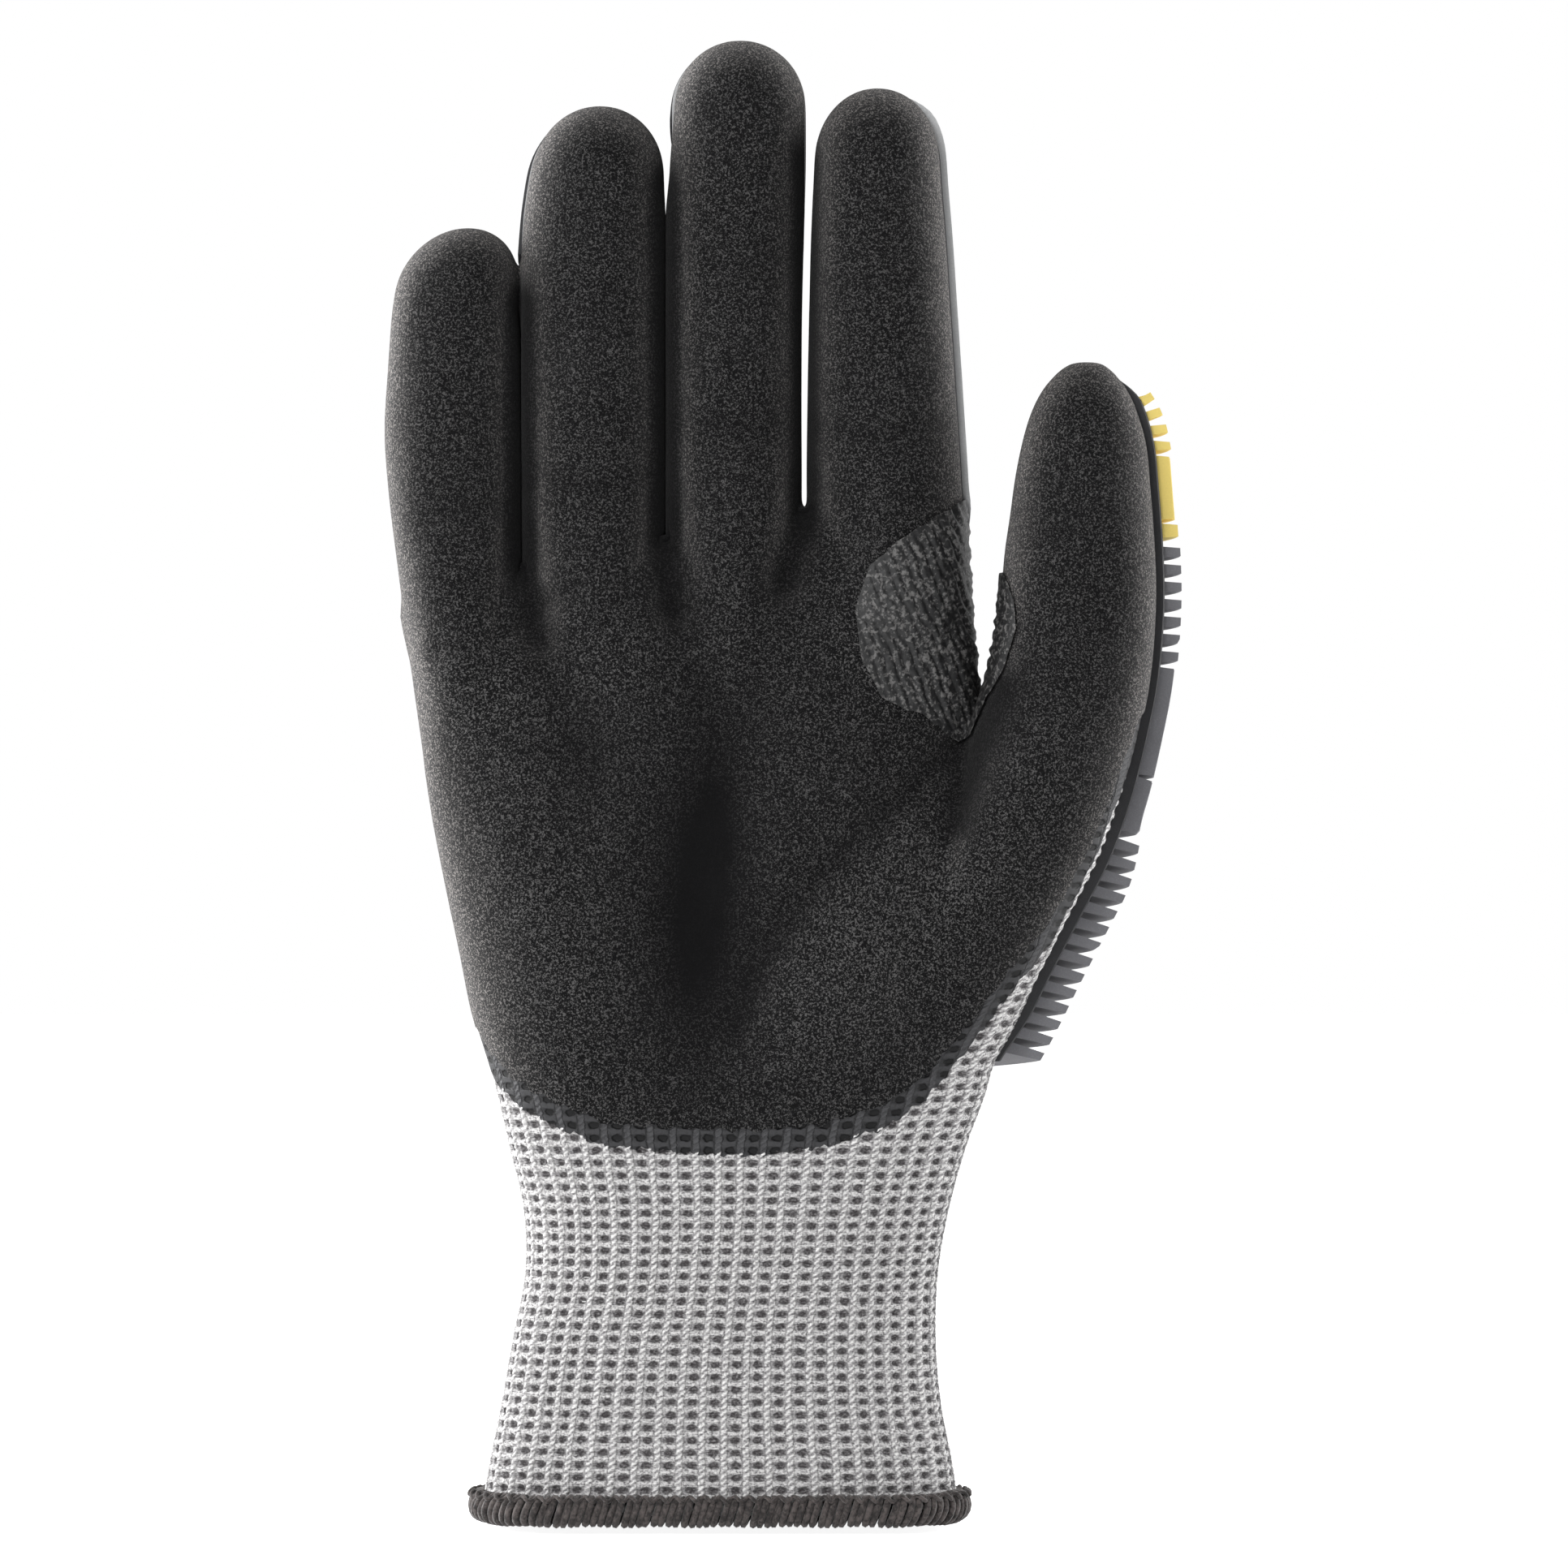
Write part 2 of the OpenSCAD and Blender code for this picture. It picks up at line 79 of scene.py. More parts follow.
# height, left, right of each stall over its liner, from the root to where its round end begins
STALLS = {
    "index": [(132, 18, 38), (150, 16.2, 40.6), (171, 15.1, 40.4), (190, 15.2, 39.3), (205, 15.5, 38.3),
              (217, 15.8, 37.5), (228, 16.3, 36.6), (242, 16.9, 36.1)],
    "middle": [(132, -7, 12), (150, -8.2, 12.8), (171, -8.3, 13.3), (190, -8.3, 13.3), (205, -8.4, 13.4),
               (217, -8.3, 13.7), (228, -8.0, 14.0), (239, -7.2, 14.0), (250, -7.0, 13.9)],
    "ring": [(130, -30, -11), (148, -32, -10), (167, -32.2, -9.9), (185, -32.5, -9.9), (200, -33, -9.9),
             (212, -33, -9.9), (222, -32.2, -9.9), (230, -31, -9.8), (239, -30.4, -9.8)],
    "little": [(120, -48, -36), (140, -50.8, -34), (161, -53.6, -33.8), (173, -55.1, -34),
               (184, -55.9, -34.2), (195, -55.3, -34.3), (206, -54.4, -34.5), (218.5, -51.8, -32.6)],
}
# top, radius of the round end, depth radius in front and behind
STALL_ENDS = {
    "index": (241.6, 11.6, 11.6, 11.2),
    "middle": (249.6, 11.2, 11.4, 11.0),
    "ring": (238.6, 11.6, 11.4, 11.0),
    "little": (218.1, 10.6, 10.8, 10.4),
}
# height, left, right, front, back
PALM = [
    (1, -40.2, 40.2, -13.6, 13.6),
    (10, -38.9, 39.2, -13.8, 13.8),
    (21, -36.7, 37.1, -13.8, 13.8),
    (32, -34.8, 36.2, -13.5, 13.5),
    (43, -32.7, 36.6, -13.3, 13.5),
    (54, -33.0, 38.5, -13.6, 13.8),
    (64.4, -35.4, 41.4, -14.6, 14.8),
    (75.3, -37.9, 45.2, -16.0, 15.4),
    (86.3, -41.2, 46.5, -16.8, 15.6),
    (97.2, -43.4, 46.2, -17.0, 15.8),
    (108, -45.7, 45.6, -16.8, 15.8),
    (119, -47.7, 44.8, -16.4, 15.6),
    (130, -49.1, 43.6, -15.6, 15.2),
    (141, -50.0, 42.4, -14.4, 14.4),
    (152, -51.2, 41.4, -12.6, 13.2),
    (160, -52.7, 41.0, -11.0, 12.0),
    (165, -53.4, 40.6, -9.2, 10.6),
    (168, -52.8, 40.0, -6.5, 8),
]
THUMB = [
    (76, 12, 44.8, -12.0, 8.5),
    (84, 18, 49.3, -13.6, 9.5),
    (92, 24, 53.2, -15.0, 10),
    (103, 31, 58.8, -16.6, 9.6),
    (112, 36, 63.4, -17.8, 9),
    (122, 39.6, 67.0, -18.8, 8),
    (134, 42.6, 70.0, -19.4, 6.6),
    (141, 44.9, 71.4, -19.4, 6),
    (148, 46.5, 72.2, -19.2, 5.6),
    (157, 47.6, 72.6, -19.0, 5.4),
    (164, 48.2, 72.4, -18.8, 5),
    (170, 49.1, 72.0, -18.6, 4.8),
    (176, 49.9, 71.5, -18.0, 4.3),
    (182, 51.1, 70.9, -17.2, 3.4),
    (186, 52.2, 69.8, -16.2, 2.4),
    (190, 54.0, 68.2, -14.6, 0.8),
    (193, 56.2, 66.2, -12.4, -1.4),
    (195.1, 59.0, 63.8, -9.4, -4.6),
]
# the palm's top edge climbs towards the index finger
TOP_TILT = 0.2
TILT_START, TILT_END = 108.0, 168.0
VOXEL = 0.62

# soft hills and hollows of the palm: x, z, half widths along x and z, turn in degrees, height
MOUNDS = [
    (33, 107, 8.5, 24, 38, 3.6),
    (20, 92, 9, 12, 38, 1.4),
    (-31, 100, 9, 30, -10, 2.4),
    (-3, 104, 8.5, 26, 2, -4.6),
    (27, 150, 9, 8, 0, 1.0),
    (3, 149, 8, 8, 0, 0.8),
    (-20, 146, 8, 9, 0, 1.0),
    (-42, 143, 8, 10, 0, 1.6),
    (-24, 128, 8, 12, 20, -1.2),
]
# creases: width, depth, points x z
CREASES = [
    (2.6, 1.7, [(3, 84), (7, 95), (12, 103), (19, 112), (27, 120), (36, 128), (42, 134)]),
    (2.0, 0.9, [(-24, 158), (-31, 154), (-39, 148), (-46, 147.5)]),
    (3.0, 2.2, [(14.2, 176), (13.5, 165), (11, 158)]),
    (3.2, 2.4, [(-9, 172), (-9, 162), (-8, 154)]),
    (3.0, 2.2, [(-33, 168), (-32, 158), (-30, 149)]),
    (5.0, 1.1, [(-7, 158), (-4, 146), (-1, 132), (0, 116)]),
    (4.5, 0.9, [(11, 160), (8, 148), (6, 136)]),
    (4.0, 0.8, [(-30, 150), (-26, 140), (-22, 130)]),
    (2.4, 0.8, [(15, 185), (28, 183.5), (41, 186)]),
    (2.2, 0.4, [(16, 210), (28, 209), (40, 211)]),
    (2.4, 0.7, [(-9, 186), (3, 184), (14, 186)]),
    (2.2, 0.4, [(-9, 214), (3, 212.5), (14, 214)]),
    (2.4, 0.8, [(-33, 177), (-21, 175), (-10, 177.5)]),
    (2.2, 0.4, [(-33, 204), (-21, 203), (-10, 204)]),
    (2.4, 0.6, [(-56, 172), (-45, 170), (-34, 172)]),
    (1.2, 0.5, [(40, 131), (33, 126), (27, 119)]),
    (1.2, 0.4, [(44, 127), (38, 120)]),
    (2.6, 0.6, [(47, 171), (58, 168), (72, 171)]),
]

# lower edge of the coat, seen from the palm side: x, z
COAT_EDGE = [
    (-60, 92), (-47, 87), (-41.5, 80.8), (-37.5, 75.2), (-33.7, 71.3), (-26.9, 67.8), (-18.7, 64.6),
    (-5.1, 63.6), (5.9, 63.3), (16.8, 64.4), (27.7, 67.8), (34.5, 72.6), (41.4, 80.8), (48.2, 89.7),
    (55, 97.9), (59.1, 105.4), (62.5, 112.2), (66, 121), (70, 132), (80, 140),
]
COAT_BACK = 3.4
# the valley where the thumb leaves the palm: x, z
THUMB_VALLEY = [(47, 141), (43, 130), (40, 118)]
# between the fingers: x
GAP_PLANES = (-33.3, -9.1, 14.3)
# left side of what belongs to the thumb, and where its lower bend starts
THUMB_SIDE, THUMB_FOLD = 44.2, 143.0
ZONES = ("base", "middle", "tip")


def from_mm(*values):
    return Vector(values) * MM


def along(keys, at):
    """Smooth values between rows of keys, whose first column is the height."""
    keys = np.array(keys, float)
    z, values = keys[:, 0], keys[:, 1:]
    slopes = np.gradient(values, z, axis=0)
    at = np.asarray(at, float)
    i = np.clip(np.searchsorted(z, at) - 1, 0, len(z) - 2)
    h = (z[i + 1] - z[i])[..., None]
    t = np.clip((at - z[i])[..., None] / h, 0, 1)
    return (
        (2 * t**3 - 3 * t**2 + 1) * values[i]
        + (t**3 - 2 * t**2 + t) * h * slopes[i]
        + (3 * t**2 - 2 * t**3) * values[i + 1]
        + (t**3 - t**2) * h * slopes[i + 1]
    )


def smoothstep(low, high, x):
    t = np.clip((x - low) / (high - low), 0, 1)
    return t * t * (3 - 2 * t)


# ---------- mesh helpers ----------


def points_of(mesh):
    co = np.empty(len(mesh.vertices) * 3)
    mesh.vertices.foreach_get("co", co)
    return co.reshape(-1, 3)


def normals_of(mesh):
    n = np.empty(len(mesh.vertices) * 3)
    mesh.vertex_normals.foreach_get("vector", n)
    return n.reshape(-1, 3)


def set_points(mesh, co):
    mesh.vertices.foreach_set("co", np.ascontiguousarray(co, np.float32).ravel())
    mesh.update()


def object_of(name, data):
    obj = bpy.data.objects.new(name, data)
    bpy.context.scene.collection.objects.link(obj)
    return obj


def object_from(bm, name):
    mesh = bpy.data.meshes.new(name)
    bm.to_mesh(mesh)
    bm.free()
    return object_of(name, mesh)


def remove(obj):
    mesh = obj.data
    bpy.data.objects.remove(obj)
    if mesh.users == 0:
        bpy.data.meshes.remove(mesh)


def applied(obj, *modifiers):
    """Puts modifiers on obj, each a type and its settings, and makes their result its mesh."""
    for kind, settings in modifiers:
        modifier = obj.modifiers.new(kind.lower(), kind)
        for key, value in settings.items():
            setattr(modifier, key, value)
    depsgraph = bpy.context.evaluated_depsgraph_get()
    mesh = bpy.data.meshes.new_from_object(obj.evaluated_get(depsgraph))
    old = obj.data
    obj.modifiers.clear()
    obj.data = mesh
    bpy.data.meshes.remove(old)
    return obj


def boolean(obj, tool, operation="DIFFERENCE"):
    """Takes a closed solid from obj, or keeps what is inside it, and removes the solid."""
    applied(obj, ("BOOLEAN", {"object": tool, "operation": operation, "solver": "MANIFOLD"}))
    remove(tool)


def copy_of(obj, name):
    return object_of(name, obj.data.copy())


def grown(name, distance):
    """A copy of the hand's form, its surface moved out by a distance in millimetres."""
    made = copy_of(form(), name)
    set_points(made.data, points_of(made.data) + normals_of(made.data) * distance * MM)
    return made


def box_solid(x0, x1, y0, y1, z0, z1):
    bm = bmesh.new()
    bmesh.ops.create_cube(bm, size=1)
    bmesh.ops.scale(bm, verts=bm.verts, vec=from_mm(x1 - x0, y1 - y0, z1 - z0))
    bmesh.ops.translate(bm, verts=bm.verts, vec=from_mm((x0 + x1) / 2, (y0 + y1) / 2, (z0 + z1) / 2))
    return object_from(bm, "cutter")


def prism(outline, y0, y1):
    """A closed solid with an outline of x and z, from y0 back to y1."""
    bm = bmesh.new()
    face = bm.faces.new([bm.verts.new(from_mm(x, y0, z)) for x, z in outline])
    made = bmesh.ops.extrude_face_region(bm, geom=[face])["geom"]
    moved = [v for v in made if isinstance(v, bmesh.types.BMVert)]
    bmesh.ops.translate(bm, verts=moved, vec=from_mm(0, y1 - y0, 0))
    bmesh.ops.recalc_face_normals(bm, faces=bm.faces)
    bmesh.ops.triangulate(bm, faces=[f for f in bm.faces if len(f.verts) > 4])
    return object_from(bm, "cutter")


def soft_shaded(obj, angle=40):
    obj.data.shade_smooth()
    obj.data.set_sharp_from_angle(angle=math.radians(angle))


def piece(obj, material, node):
    """Gives a finished piece its material and hides the part node that it stands for."""
    obj.data.materials.clear()
    obj.data.materials.append(material)
    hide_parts(node)
    return obj


# ---------- the hand's form ----------


def loft(bm, rows, squareness, around=56):
    """Skins rings of height, left, right, front, back into a closed form."""
    loops = []
    for z, left, right, front, back in rows:
        ring = bmesh.ops.create_circle(bm, radius=1, segments=around)["verts"]
        lean = TOP_TILT * smoothstep(TILT_START, TILT_END, z) if squareness > 2.3 else 0
        for v in ring:
            c, s = v.co.x, v.co.y
            x = (left + right) / 2 + (right - left) / 2 * math.copysign(abs(c) ** (2 / squareness), c)
            y = (front + back) / 2 + (back - front) / 2 * math.copysign(abs(s) ** (2 / squareness), s)
            v.co = from_mm(x, y, z + lean * x)
        loops.append(list({e for v in ring for e in v.link_edges}))
    for low, high in zip(loops, loops[1:]):
        bmesh.ops.bridge_loops(bm, edges=low + high)
    for end in (loops[0], loops[-1]):
        bmesh.ops.contextual_create(bm, geom=end)


def stall_rows(name):
    """Rings of one finger, from inside the palm to its round end."""
    top, radius, front, back = STALL_ENDS[name]
    low = STALLS[name][0][0]
    crotch = finger_heights(name)[0]
    rows = []
    round_end = top - radius * (1 - np.sin(np.linspace(0, 1.5, 12)))
    for z in np.concatenate([np.arange(low, top - radius, 2.5), round_end]):
        left, right = along(STALLS[name], z)
        rise = max(0.0, (z - (top - radius)) / radius)
        share = math.sqrt(max(0.0, 1 - rise**2.15))
        root = smoothstep(low, low + 22, z)
        pad = 1.4 * math.exp(-(((z - crotch + 12) / 12) ** 2))
        middle, half = (left + right) / 2, (right - left) / 2 * share
        rows.append((z, middle - half, middle + half, -(front * (0.45 + 0.55 * root) + pad) * share,
                     back * (0.5 + 0.5 * root) * share))
    return rows


def joint_height(name):
    return next(j["pos_m"][2] for j in frame["joints"] if j["name"] == name) / MM


def finger_heights(name):
    """Where a finger's three bending zones start and end, from its crotch to its last joint."""
    base, middle, tip = (joint_height(f"{name}_{at}_bend") for at in ("base", "middle", "tip"))
    low, high = (base + middle) / 2, (middle + tip) / 2
    return 2 * base - low, low, high, 2 * tip - high


def finger_span(name):
    """Left and right of the slab that holds one finger and nothing else."""
    planes = (-FAR, *GAP_PLANES, FAR)
    i = 3 - FINGERS.index(name)
    right = planes[i + 1] if name != "index" else 45.5
    return planes[i] + 0.01, right - 0.01


def polyline_distance(x, z, points):
    best = np.full(len(x), 1e9)
    for (x0, z0), (x1, z1) in zip(points, points[1:]):
        dx, dz = x1 - x0, z1 - z0
        t = np.clip(((x - x0) * dx + (z - z0) * dz) / (dx * dx + dz * dz), 0, 1)
        best = np.minimum(best, np.hypot(x - x0 - t * dx, z - z0 - t * dz))
    return best


def palm_relief(co, normals):
    """Moves the palm side into pads, hollows and creases. co is in millimetres."""
    x, z = co[:, 0], co[:, 2]
    front = smoothstep(0.05, 0.75, -normals[:, 1])
    height = np.zeros(len(x))
    for cx, cz, wx, wz, turn, amount in MOUNDS:
        a = math.radians(turn)
        u = (x - cx) * math.cos(a) - (z - cz) * math.sin(a)
        v = (x - cx) * math.sin(a) + (z - cz) * math.cos(a)
        height += amount * np.exp(-((u / wx) ** 2 + (v / wz) ** 2))
    for width, depth, points in CREASES:
        height -= depth * np.exp(-((polyline_distance(x, z, points) / width) ** 2))
    ripple = np.sin(x * 0.31 + 1.3 * np.sin(z * 0.17)) * np.sin(z * 0.23 + 0.9 * np.sin(x * 0.19 + 1))
    ripple += 0.5 * np.sin(x * 0.62 + z * 0.35 + 2) * np.sin(z * 0.55 - x * 0.2)
    height += 0.16 * ripple * smoothstep(62, 80, z)
    return height * front


def set_wear_and_shade(obj):
    """Stores how rubbed each point of the coat is, partly wear and partly painted shade: most on the pads,
    least in hollows and creases, between fingers and in the thumb's valley, where it paints shade.
    """
    co = points_of(obj.data) / MM
    rubbed = 0.5 + palm_relief(co, normals_of(obj.data)) * 0.13
    # painted shade: the value falls between the fingers and in the valley at the thumb's root
    for plane, root, tip in zip(GAP_PLANES, (163, 168, 171), (214, 234, 238)):
        near = smoothstep(4.5, 0.8, np.abs(co[:, 0] - plane)) * smoothstep(root - 12, root, co[:, 2])
        rubbed *= 1 - 0.9 * near * smoothstep(tip, tip - 9, co[:, 2])
    rubbed *= 1 - 0.85 * np.exp(-((polyline_distance(co[:, 0], co[:, 2], THUMB_VALLEY) / 4.5) ** 2))
    layer = obj.data.attributes.new("rubbed", "FLOAT", "POINT")
    layer.data.foreach_set("value", np.clip(rubbed, 0, 1).astype(np.float32))


def hand_form():
    """The liner's outer surface over the whole hand, as one closed form."""
    bm = bmesh.new()
    for keys, squareness in ((PALM, 2.7), (THUMB, 2.2)):
        heights = np.append(np.arange(keys[0][0], keys[-1][0], 2.5), keys[-1][0])
        loft(bm, [(z, *along(keys, z)) for z in heights], squareness)
    for name in FINGERS:
        loft(bm, stall_rows(name), 2.15)
    bmesh.ops.recalc_face_normals(bm, faces=bm.faces)
    form = object_from(bm, "hand_form")
    applied(
        form,
        ("REMESH", {"mode": "VOXEL", "voxel_size": VOXEL * MM}),
        ("SMOOTH", {"factor": 0.6, "iterations": 14}),
    )
    co = points_of(form.data)
    normals = normals_of(form.data)
    lift = palm_relief(co / MM, normals) * MM
    co[:, 1] -= lift
    set_points(form.data, co)
    # the thumb's root runs softly into the palm
    z = co[:, 2] / MM
    soft = smoothstep(0.15, 0.6, -normals[:, 1]) * smoothstep(146, 136, z) * smoothstep(70, 80, z)
    blended = form.vertex_groups.new(name="soft")
    for level in range(1, 9):
        chosen = np.nonzero(np.rint(soft * 8) == level)[0]
        blended.add(chosen.tolist(), level / 8, "REPLACE")
    applied(
        form,
        ("SMOOTH", {"factor": 0.6, "iterations": 70, "vertex_group": "soft"}),
        ("SMOOTH", {"factor": 0.5, "iterations": 3}),
    )
    form.vertex_groups.clear()
    # the two narrow gaps close to a slit
    co, normals = points_of(form.data) / MM, normals_of(form.data)
    for plane, root, tip in zip(GAP_PLANES[:2], (165, 170), (208, 228)):
        away = plane - co[:, 0]
        facing = np.clip(np.sign(away) * normals[:, 0], 0, 1) ** 2
        share = facing * smoothstep(3.4, 2.0, np.abs(away)) * smoothstep(root - 10, root - 4, co[:, 2])
        share *= smoothstep(tip, tip - 9, co[:, 2])
        gap = np.maximum(np.abs(away) - 0.47, 0)
        co[:, 0] += np.sign(away) * np.minimum(gap, 0.9) * share
    set_points(form.data, co * MM)
    return form


# ---------- shader helpers ----------


class Wire:
    """A value in a node tree that arithmetic works on."""

    def __init__(self, tree, socket):
        self.tree, self.socket = tree, socket

    def __add__(self, other):
        return self.tree.math("ADD", self, other)

    def __sub__(self, other):
        return self.tree.math("SUBTRACT", self, other)

    def __rsub__(self, other):
        return self.tree.math("SUBTRACT", other, self)

    def __mul__(self, other):
        return self.tree.math("MULTIPLY", self, other)

    def __truediv__(self, other):
        return self.tree.math("DIVIDE", self, other)

    __radd__, __rmul__ = __add__, __mul__


class Tree:
    """Adds nodes to a material's tree or a group's."""

    def __init__(self, tree):
        self.tree = tree

    def node(self, kind, inputs=None, **settings):
        made = self.tree.nodes.new("ShaderNode" + kind)
        for key, value in settings.items():
            setattr(made, key, value)
        for key, value in (inputs or {}).items():
            self.put(made.inputs[key], value)
        return made

    def put(self, socket, value):
        if isinstance(value, Wire):
            value = value.socket
        if isinstance(value, bpy.types.NodeSocket):
            self.tree.links.new(value, socket)
        elif socket.type == "RGBA":
            socket.default_value = (*tuple(value)[:3], 1)
        else:
            socket.default_value = value

    def math(self, operation, a, b=0.0):
        return Wire(self, self.node("Math", {0: a, 1: b}, operation=operation).outputs[0])

    def cos(self, a):
        return self.math("COSINE", a)

    def fract(self, a):
        return self.math("FRACT", a)

    def maximum(self, a, b):
        return self.math("MAXIMUM", a, b)

    def absolute(self, a):
        return self.math("ABSOLUTE", a)

    def smooth(self, low, high, x):
        inputs = {"Value": x, "From Min": low, "From Max": high}
        made = self.node("MapRange", inputs, interpolation_type="SMOOTHSTEP")
        return Wire(self, made.outputs["Result"])

    def mix(self, share, a, b):
        made = self.node("Mix", {0: share, 6: a, 7: b}, data_type="RGBA")
        return made.outputs[2]

    def noise(self, vector, scale, detail=2.0, roughness=0.5):
        inputs = {"Vector": vector, "Scale": scale, "Detail": detail, "Roughness": roughness}
        made = self.node("TexNoise", inputs)
        return Wire(self, made.outputs["Fac"])

    def place(self):
        return self.node("TexCoord").outputs["Object"]

    def bump(self, height, distance):
        return self.node("Bump", {"Height": height, "Distance": distance, "Strength": 1.0}).outputs["Normal"]

    def grain(self, place, scale):
        return placed_group(self, grain_group(), {"Place": place, "Scale": scale})

    def knit(self):
        """The stitches at the piece's own stitch places, and those places."""
        uv = self.node("UVMap", uv_map="stitches").outputs[0]
        return placed_group(self, stitch_group(), {"UV": uv}), uv


def group(name, inputs, outputs, fill):
    """A shader node group, made once: fill gets its tree and inputs and returns its outputs in order."""
    if name in bpy.data.node_groups:
        return bpy.data.node_groups[name]
    made = bpy.data.node_groups.new(name, "ShaderNodeTree")
    for label, kind, default in inputs:
        socket = made.interface.new_socket(label, in_out="INPUT", socket_type="NodeSocket" + kind)
        if default is not None:
            socket.default_value = default
    for label, kind in outputs:
        made.interface.new_socket(label, in_out="OUTPUT", socket_type="NodeSocket" + kind)
    tree = Tree(made)
    entry = made.nodes.new("NodeGroupInput")
    leave = made.nodes.new("NodeGroupOutput")
    results = fill(tree, {s.name: Wire(tree, s) for s in entry.outputs if s.name})
    for (label, _kind), value in zip(outputs, results):
        tree.put(leave.inputs[label], value)
    return made


def placed_group(tree, made, inputs):
    """Puts a group in a tree and returns its outputs by name."""
    outputs = tree.node("Group", inputs, node_tree=made).outputs
    return {socket.name: Wire(tree, socket) for socket in outputs}


def material(name, fill, **sockets):
    """A Principled material whose changing inputs come from fill and whose plain ones are set on it."""
    name += "_finish"
    if name in bpy.data.materials:
        return bpy.data.materials[name]
    made = bpy.data.materials.new(name)
    made.use_nodes = True
    tree = Tree(made.node_tree)
    shader = made.node_tree.nodes["Principled BSDF"]
    for label, value in sockets.items():
        shader.inputs[label.replace("_", " ")].default_value = value
    for label, value in fill(tree).items():
        tree.put(shader.inputs[label], value)
    return made


# ---------- finishes ----------


def grain_group():
    """Rubbed grain: a height and a mask of its high spots."""

    def fill(t, given):
        coarse = t.noise(given["Place"], given["Scale"], 3, 0.65)
        fine = t.noise(given["Place"], given["Scale"] * 2.3, 2, 0.6)
        height = coarse * 0.6 + fine * 0.4
        return height, t.smooth(0.5, 0.59, height)

    return group(
        "grain",
        [("Place", "Vector", None), ("Scale", "Float", 2000.0)],
        [("Height", "Float"), ("Mask", "Float")],
        fill,
    )


class Numbers:
    """The same arithmetic for arrays that Tree gives for wires."""

    cos, maximum, absolute, smooth = np.cos, np.maximum, np.abs, staticmethod(smoothstep)

    @staticmethod
    def fract(a):
        return a - np.floor(a)


def stitch(t, wale, course):
    """A knitted stitch from its column and row: its height, and how much it is a pit, a leg or a bar."""
    u, v = t.fract(wale), t.fract(course)
    # slanted legs, two a row, down the left of each column
    leg_side = t.smooth(0.38, 0.28, u) * t.smooth(-0.02, 0.05, u)
    leg = leg_side * (t.cos((v * 2 - u * 2.4) * (2 * math.pi)) * 0.5 + 0.5)
    # a bar across the column between pits
    bar_v = t.absolute(v - 0.5) * 2
    bar = t.smooth(0.25, 0.75, bar_v) * t.smooth(0.22, 0.4, u) * t.smooth(1.02, 0.93, u)
    pit_u = (u - 0.72) / 0.25
    pit_v = (v - 0.5) / 0.31
    pit = t.smooth(1.15, 0.35, pit_u * pit_u + pit_v * pit_v)
    body = leg_side * 0.5 + 0.32
    height = t.maximum(body + leg * 0.3, 0.35 + bar * 0.3) - pit * 0.62
    return height, pit, leg, bar


def stitch_group():
    def fill(t, given):
        parts = t.node("SeparateXYZ", {0: given["UV"]})
        wale, course = Wire(t, parts.outputs[0]), Wire(t, parts.outputs[1])
        # stitches wander a little
        wander = t.noise(given["UV"], 0.9, 1) - 0.5
        wobble = t.noise(given["UV"], 3.1, 1) - 0.5
        fray = t.noise(given["UV"], 6.0, 2) - 0.5
        height, pit, leg, bar = stitch(t, wale + wander * 0.16 + fray * 0.16, course + wobble * 0.3)
        return height, pit * t.smooth(0.25, 0.55, fray + 0.55), leg, bar

    return group(
        "knit_stitch",
        [("UV", "Vector", None)],
        [("Height", "Float"), ("Pit", "Float"), ("Leg", "Float"), ("Bar", "Float")],
        fill,
    )


def knit_material(colours):
    def fill(t):
        knit, uv = t.knit()
        spread = t.node("Mapping", {"Vector": uv, "Scale": (3.2, 7.0, 1.0)})
        slant = t.node("Mapping", {"Vector": uv, "Rotation": (0, 0, 0.6), "Scale": (9.0, 5.0, 1.0)})
        yarn = t.noise(slant.outputs[0], 1.0, 3, 0.75)
        fibres = t.noise(spread.outputs[0], 1.1, 3, 0.75)
        speck = t.smooth(0.38, 0.6, yarn * 0.5 + fibres * 0.5)
        base = t.mix(speck, colours.knit_dark, colours.knit_light)
        leg = knit["Leg"]
        # painted highlight: the raised legs and the bars turn lighter than the yarn
        leg_highlighted = t.mix(leg * (0.35 + speck * 0.6), base, colours.knit_bright)
        bar_highlighted = t.mix(knit["Bar"] * speck * 0.6, leg_highlighted, colours.knit_bright)
        # painted shade: the pits turn dark
        colour = t.mix(knit["Pit"] * (1.15 - speck * 0.45), bar_highlighted, colours.knit_pit)
        height = knit["Height"] + yarn * 0.35
        return {
            "Base Color": colour,
            "Roughness": 0.92 - leg * 0.25,
            "Normal": t.bump(height, 0.00045),
        }

    return material("salt_and_pepper_knit", fill, Sheen_Weight=0.15, Sheen_Roughness=0.5)


def sandy_material(colours):
    def fill(t):
        place = t.place()
        grain = t.grain(place, 2700.0)
        cloud = t.noise(place, 60.0, 3)
        # painted rim highlight: the coat and its grains turn lighter where the surface turns away from the
        # camera, least where the rubbed value paints shade
        turned = Wire(t, t.node("LayerWeight", {"Blend": 0.5}).outputs["Facing"])
        rubbed = Wire(t, t.node("Attribute", attribute_name="rubbed").outputs["Fac"])
        rim = t.smooth(0.05, 0.85, turned) * t.smooth(0.05, 0.45, rubbed)
        # painted glints: the high grains, which are real, take a lighter colour, most on the pads and least
        # where the rubbed value paints shade
        speck = grain["Mask"]
        dark = t.mix(cloud, colours.coat_dark, colours.coat_worn)
        with_painted_rim = t.mix(rim, dark, colours.coat_painted_rim)
        grains = t.mix(rim, colours.coat_grain_glint, colours.coat_grain_painted_rim)
        colour = t.mix(speck * (rubbed * 1.5 + 0.02), with_painted_rim, grains)
        return {"Base Color": colour, "Roughness": 0.85, "Normal": t.bump(grain["Height"], 0.0003)}

    return material("sandy_nitrile", fill, Specular_IOR_Level=0.1, Sheen_Weight=0.04, Sheen_Roughness=0.5)


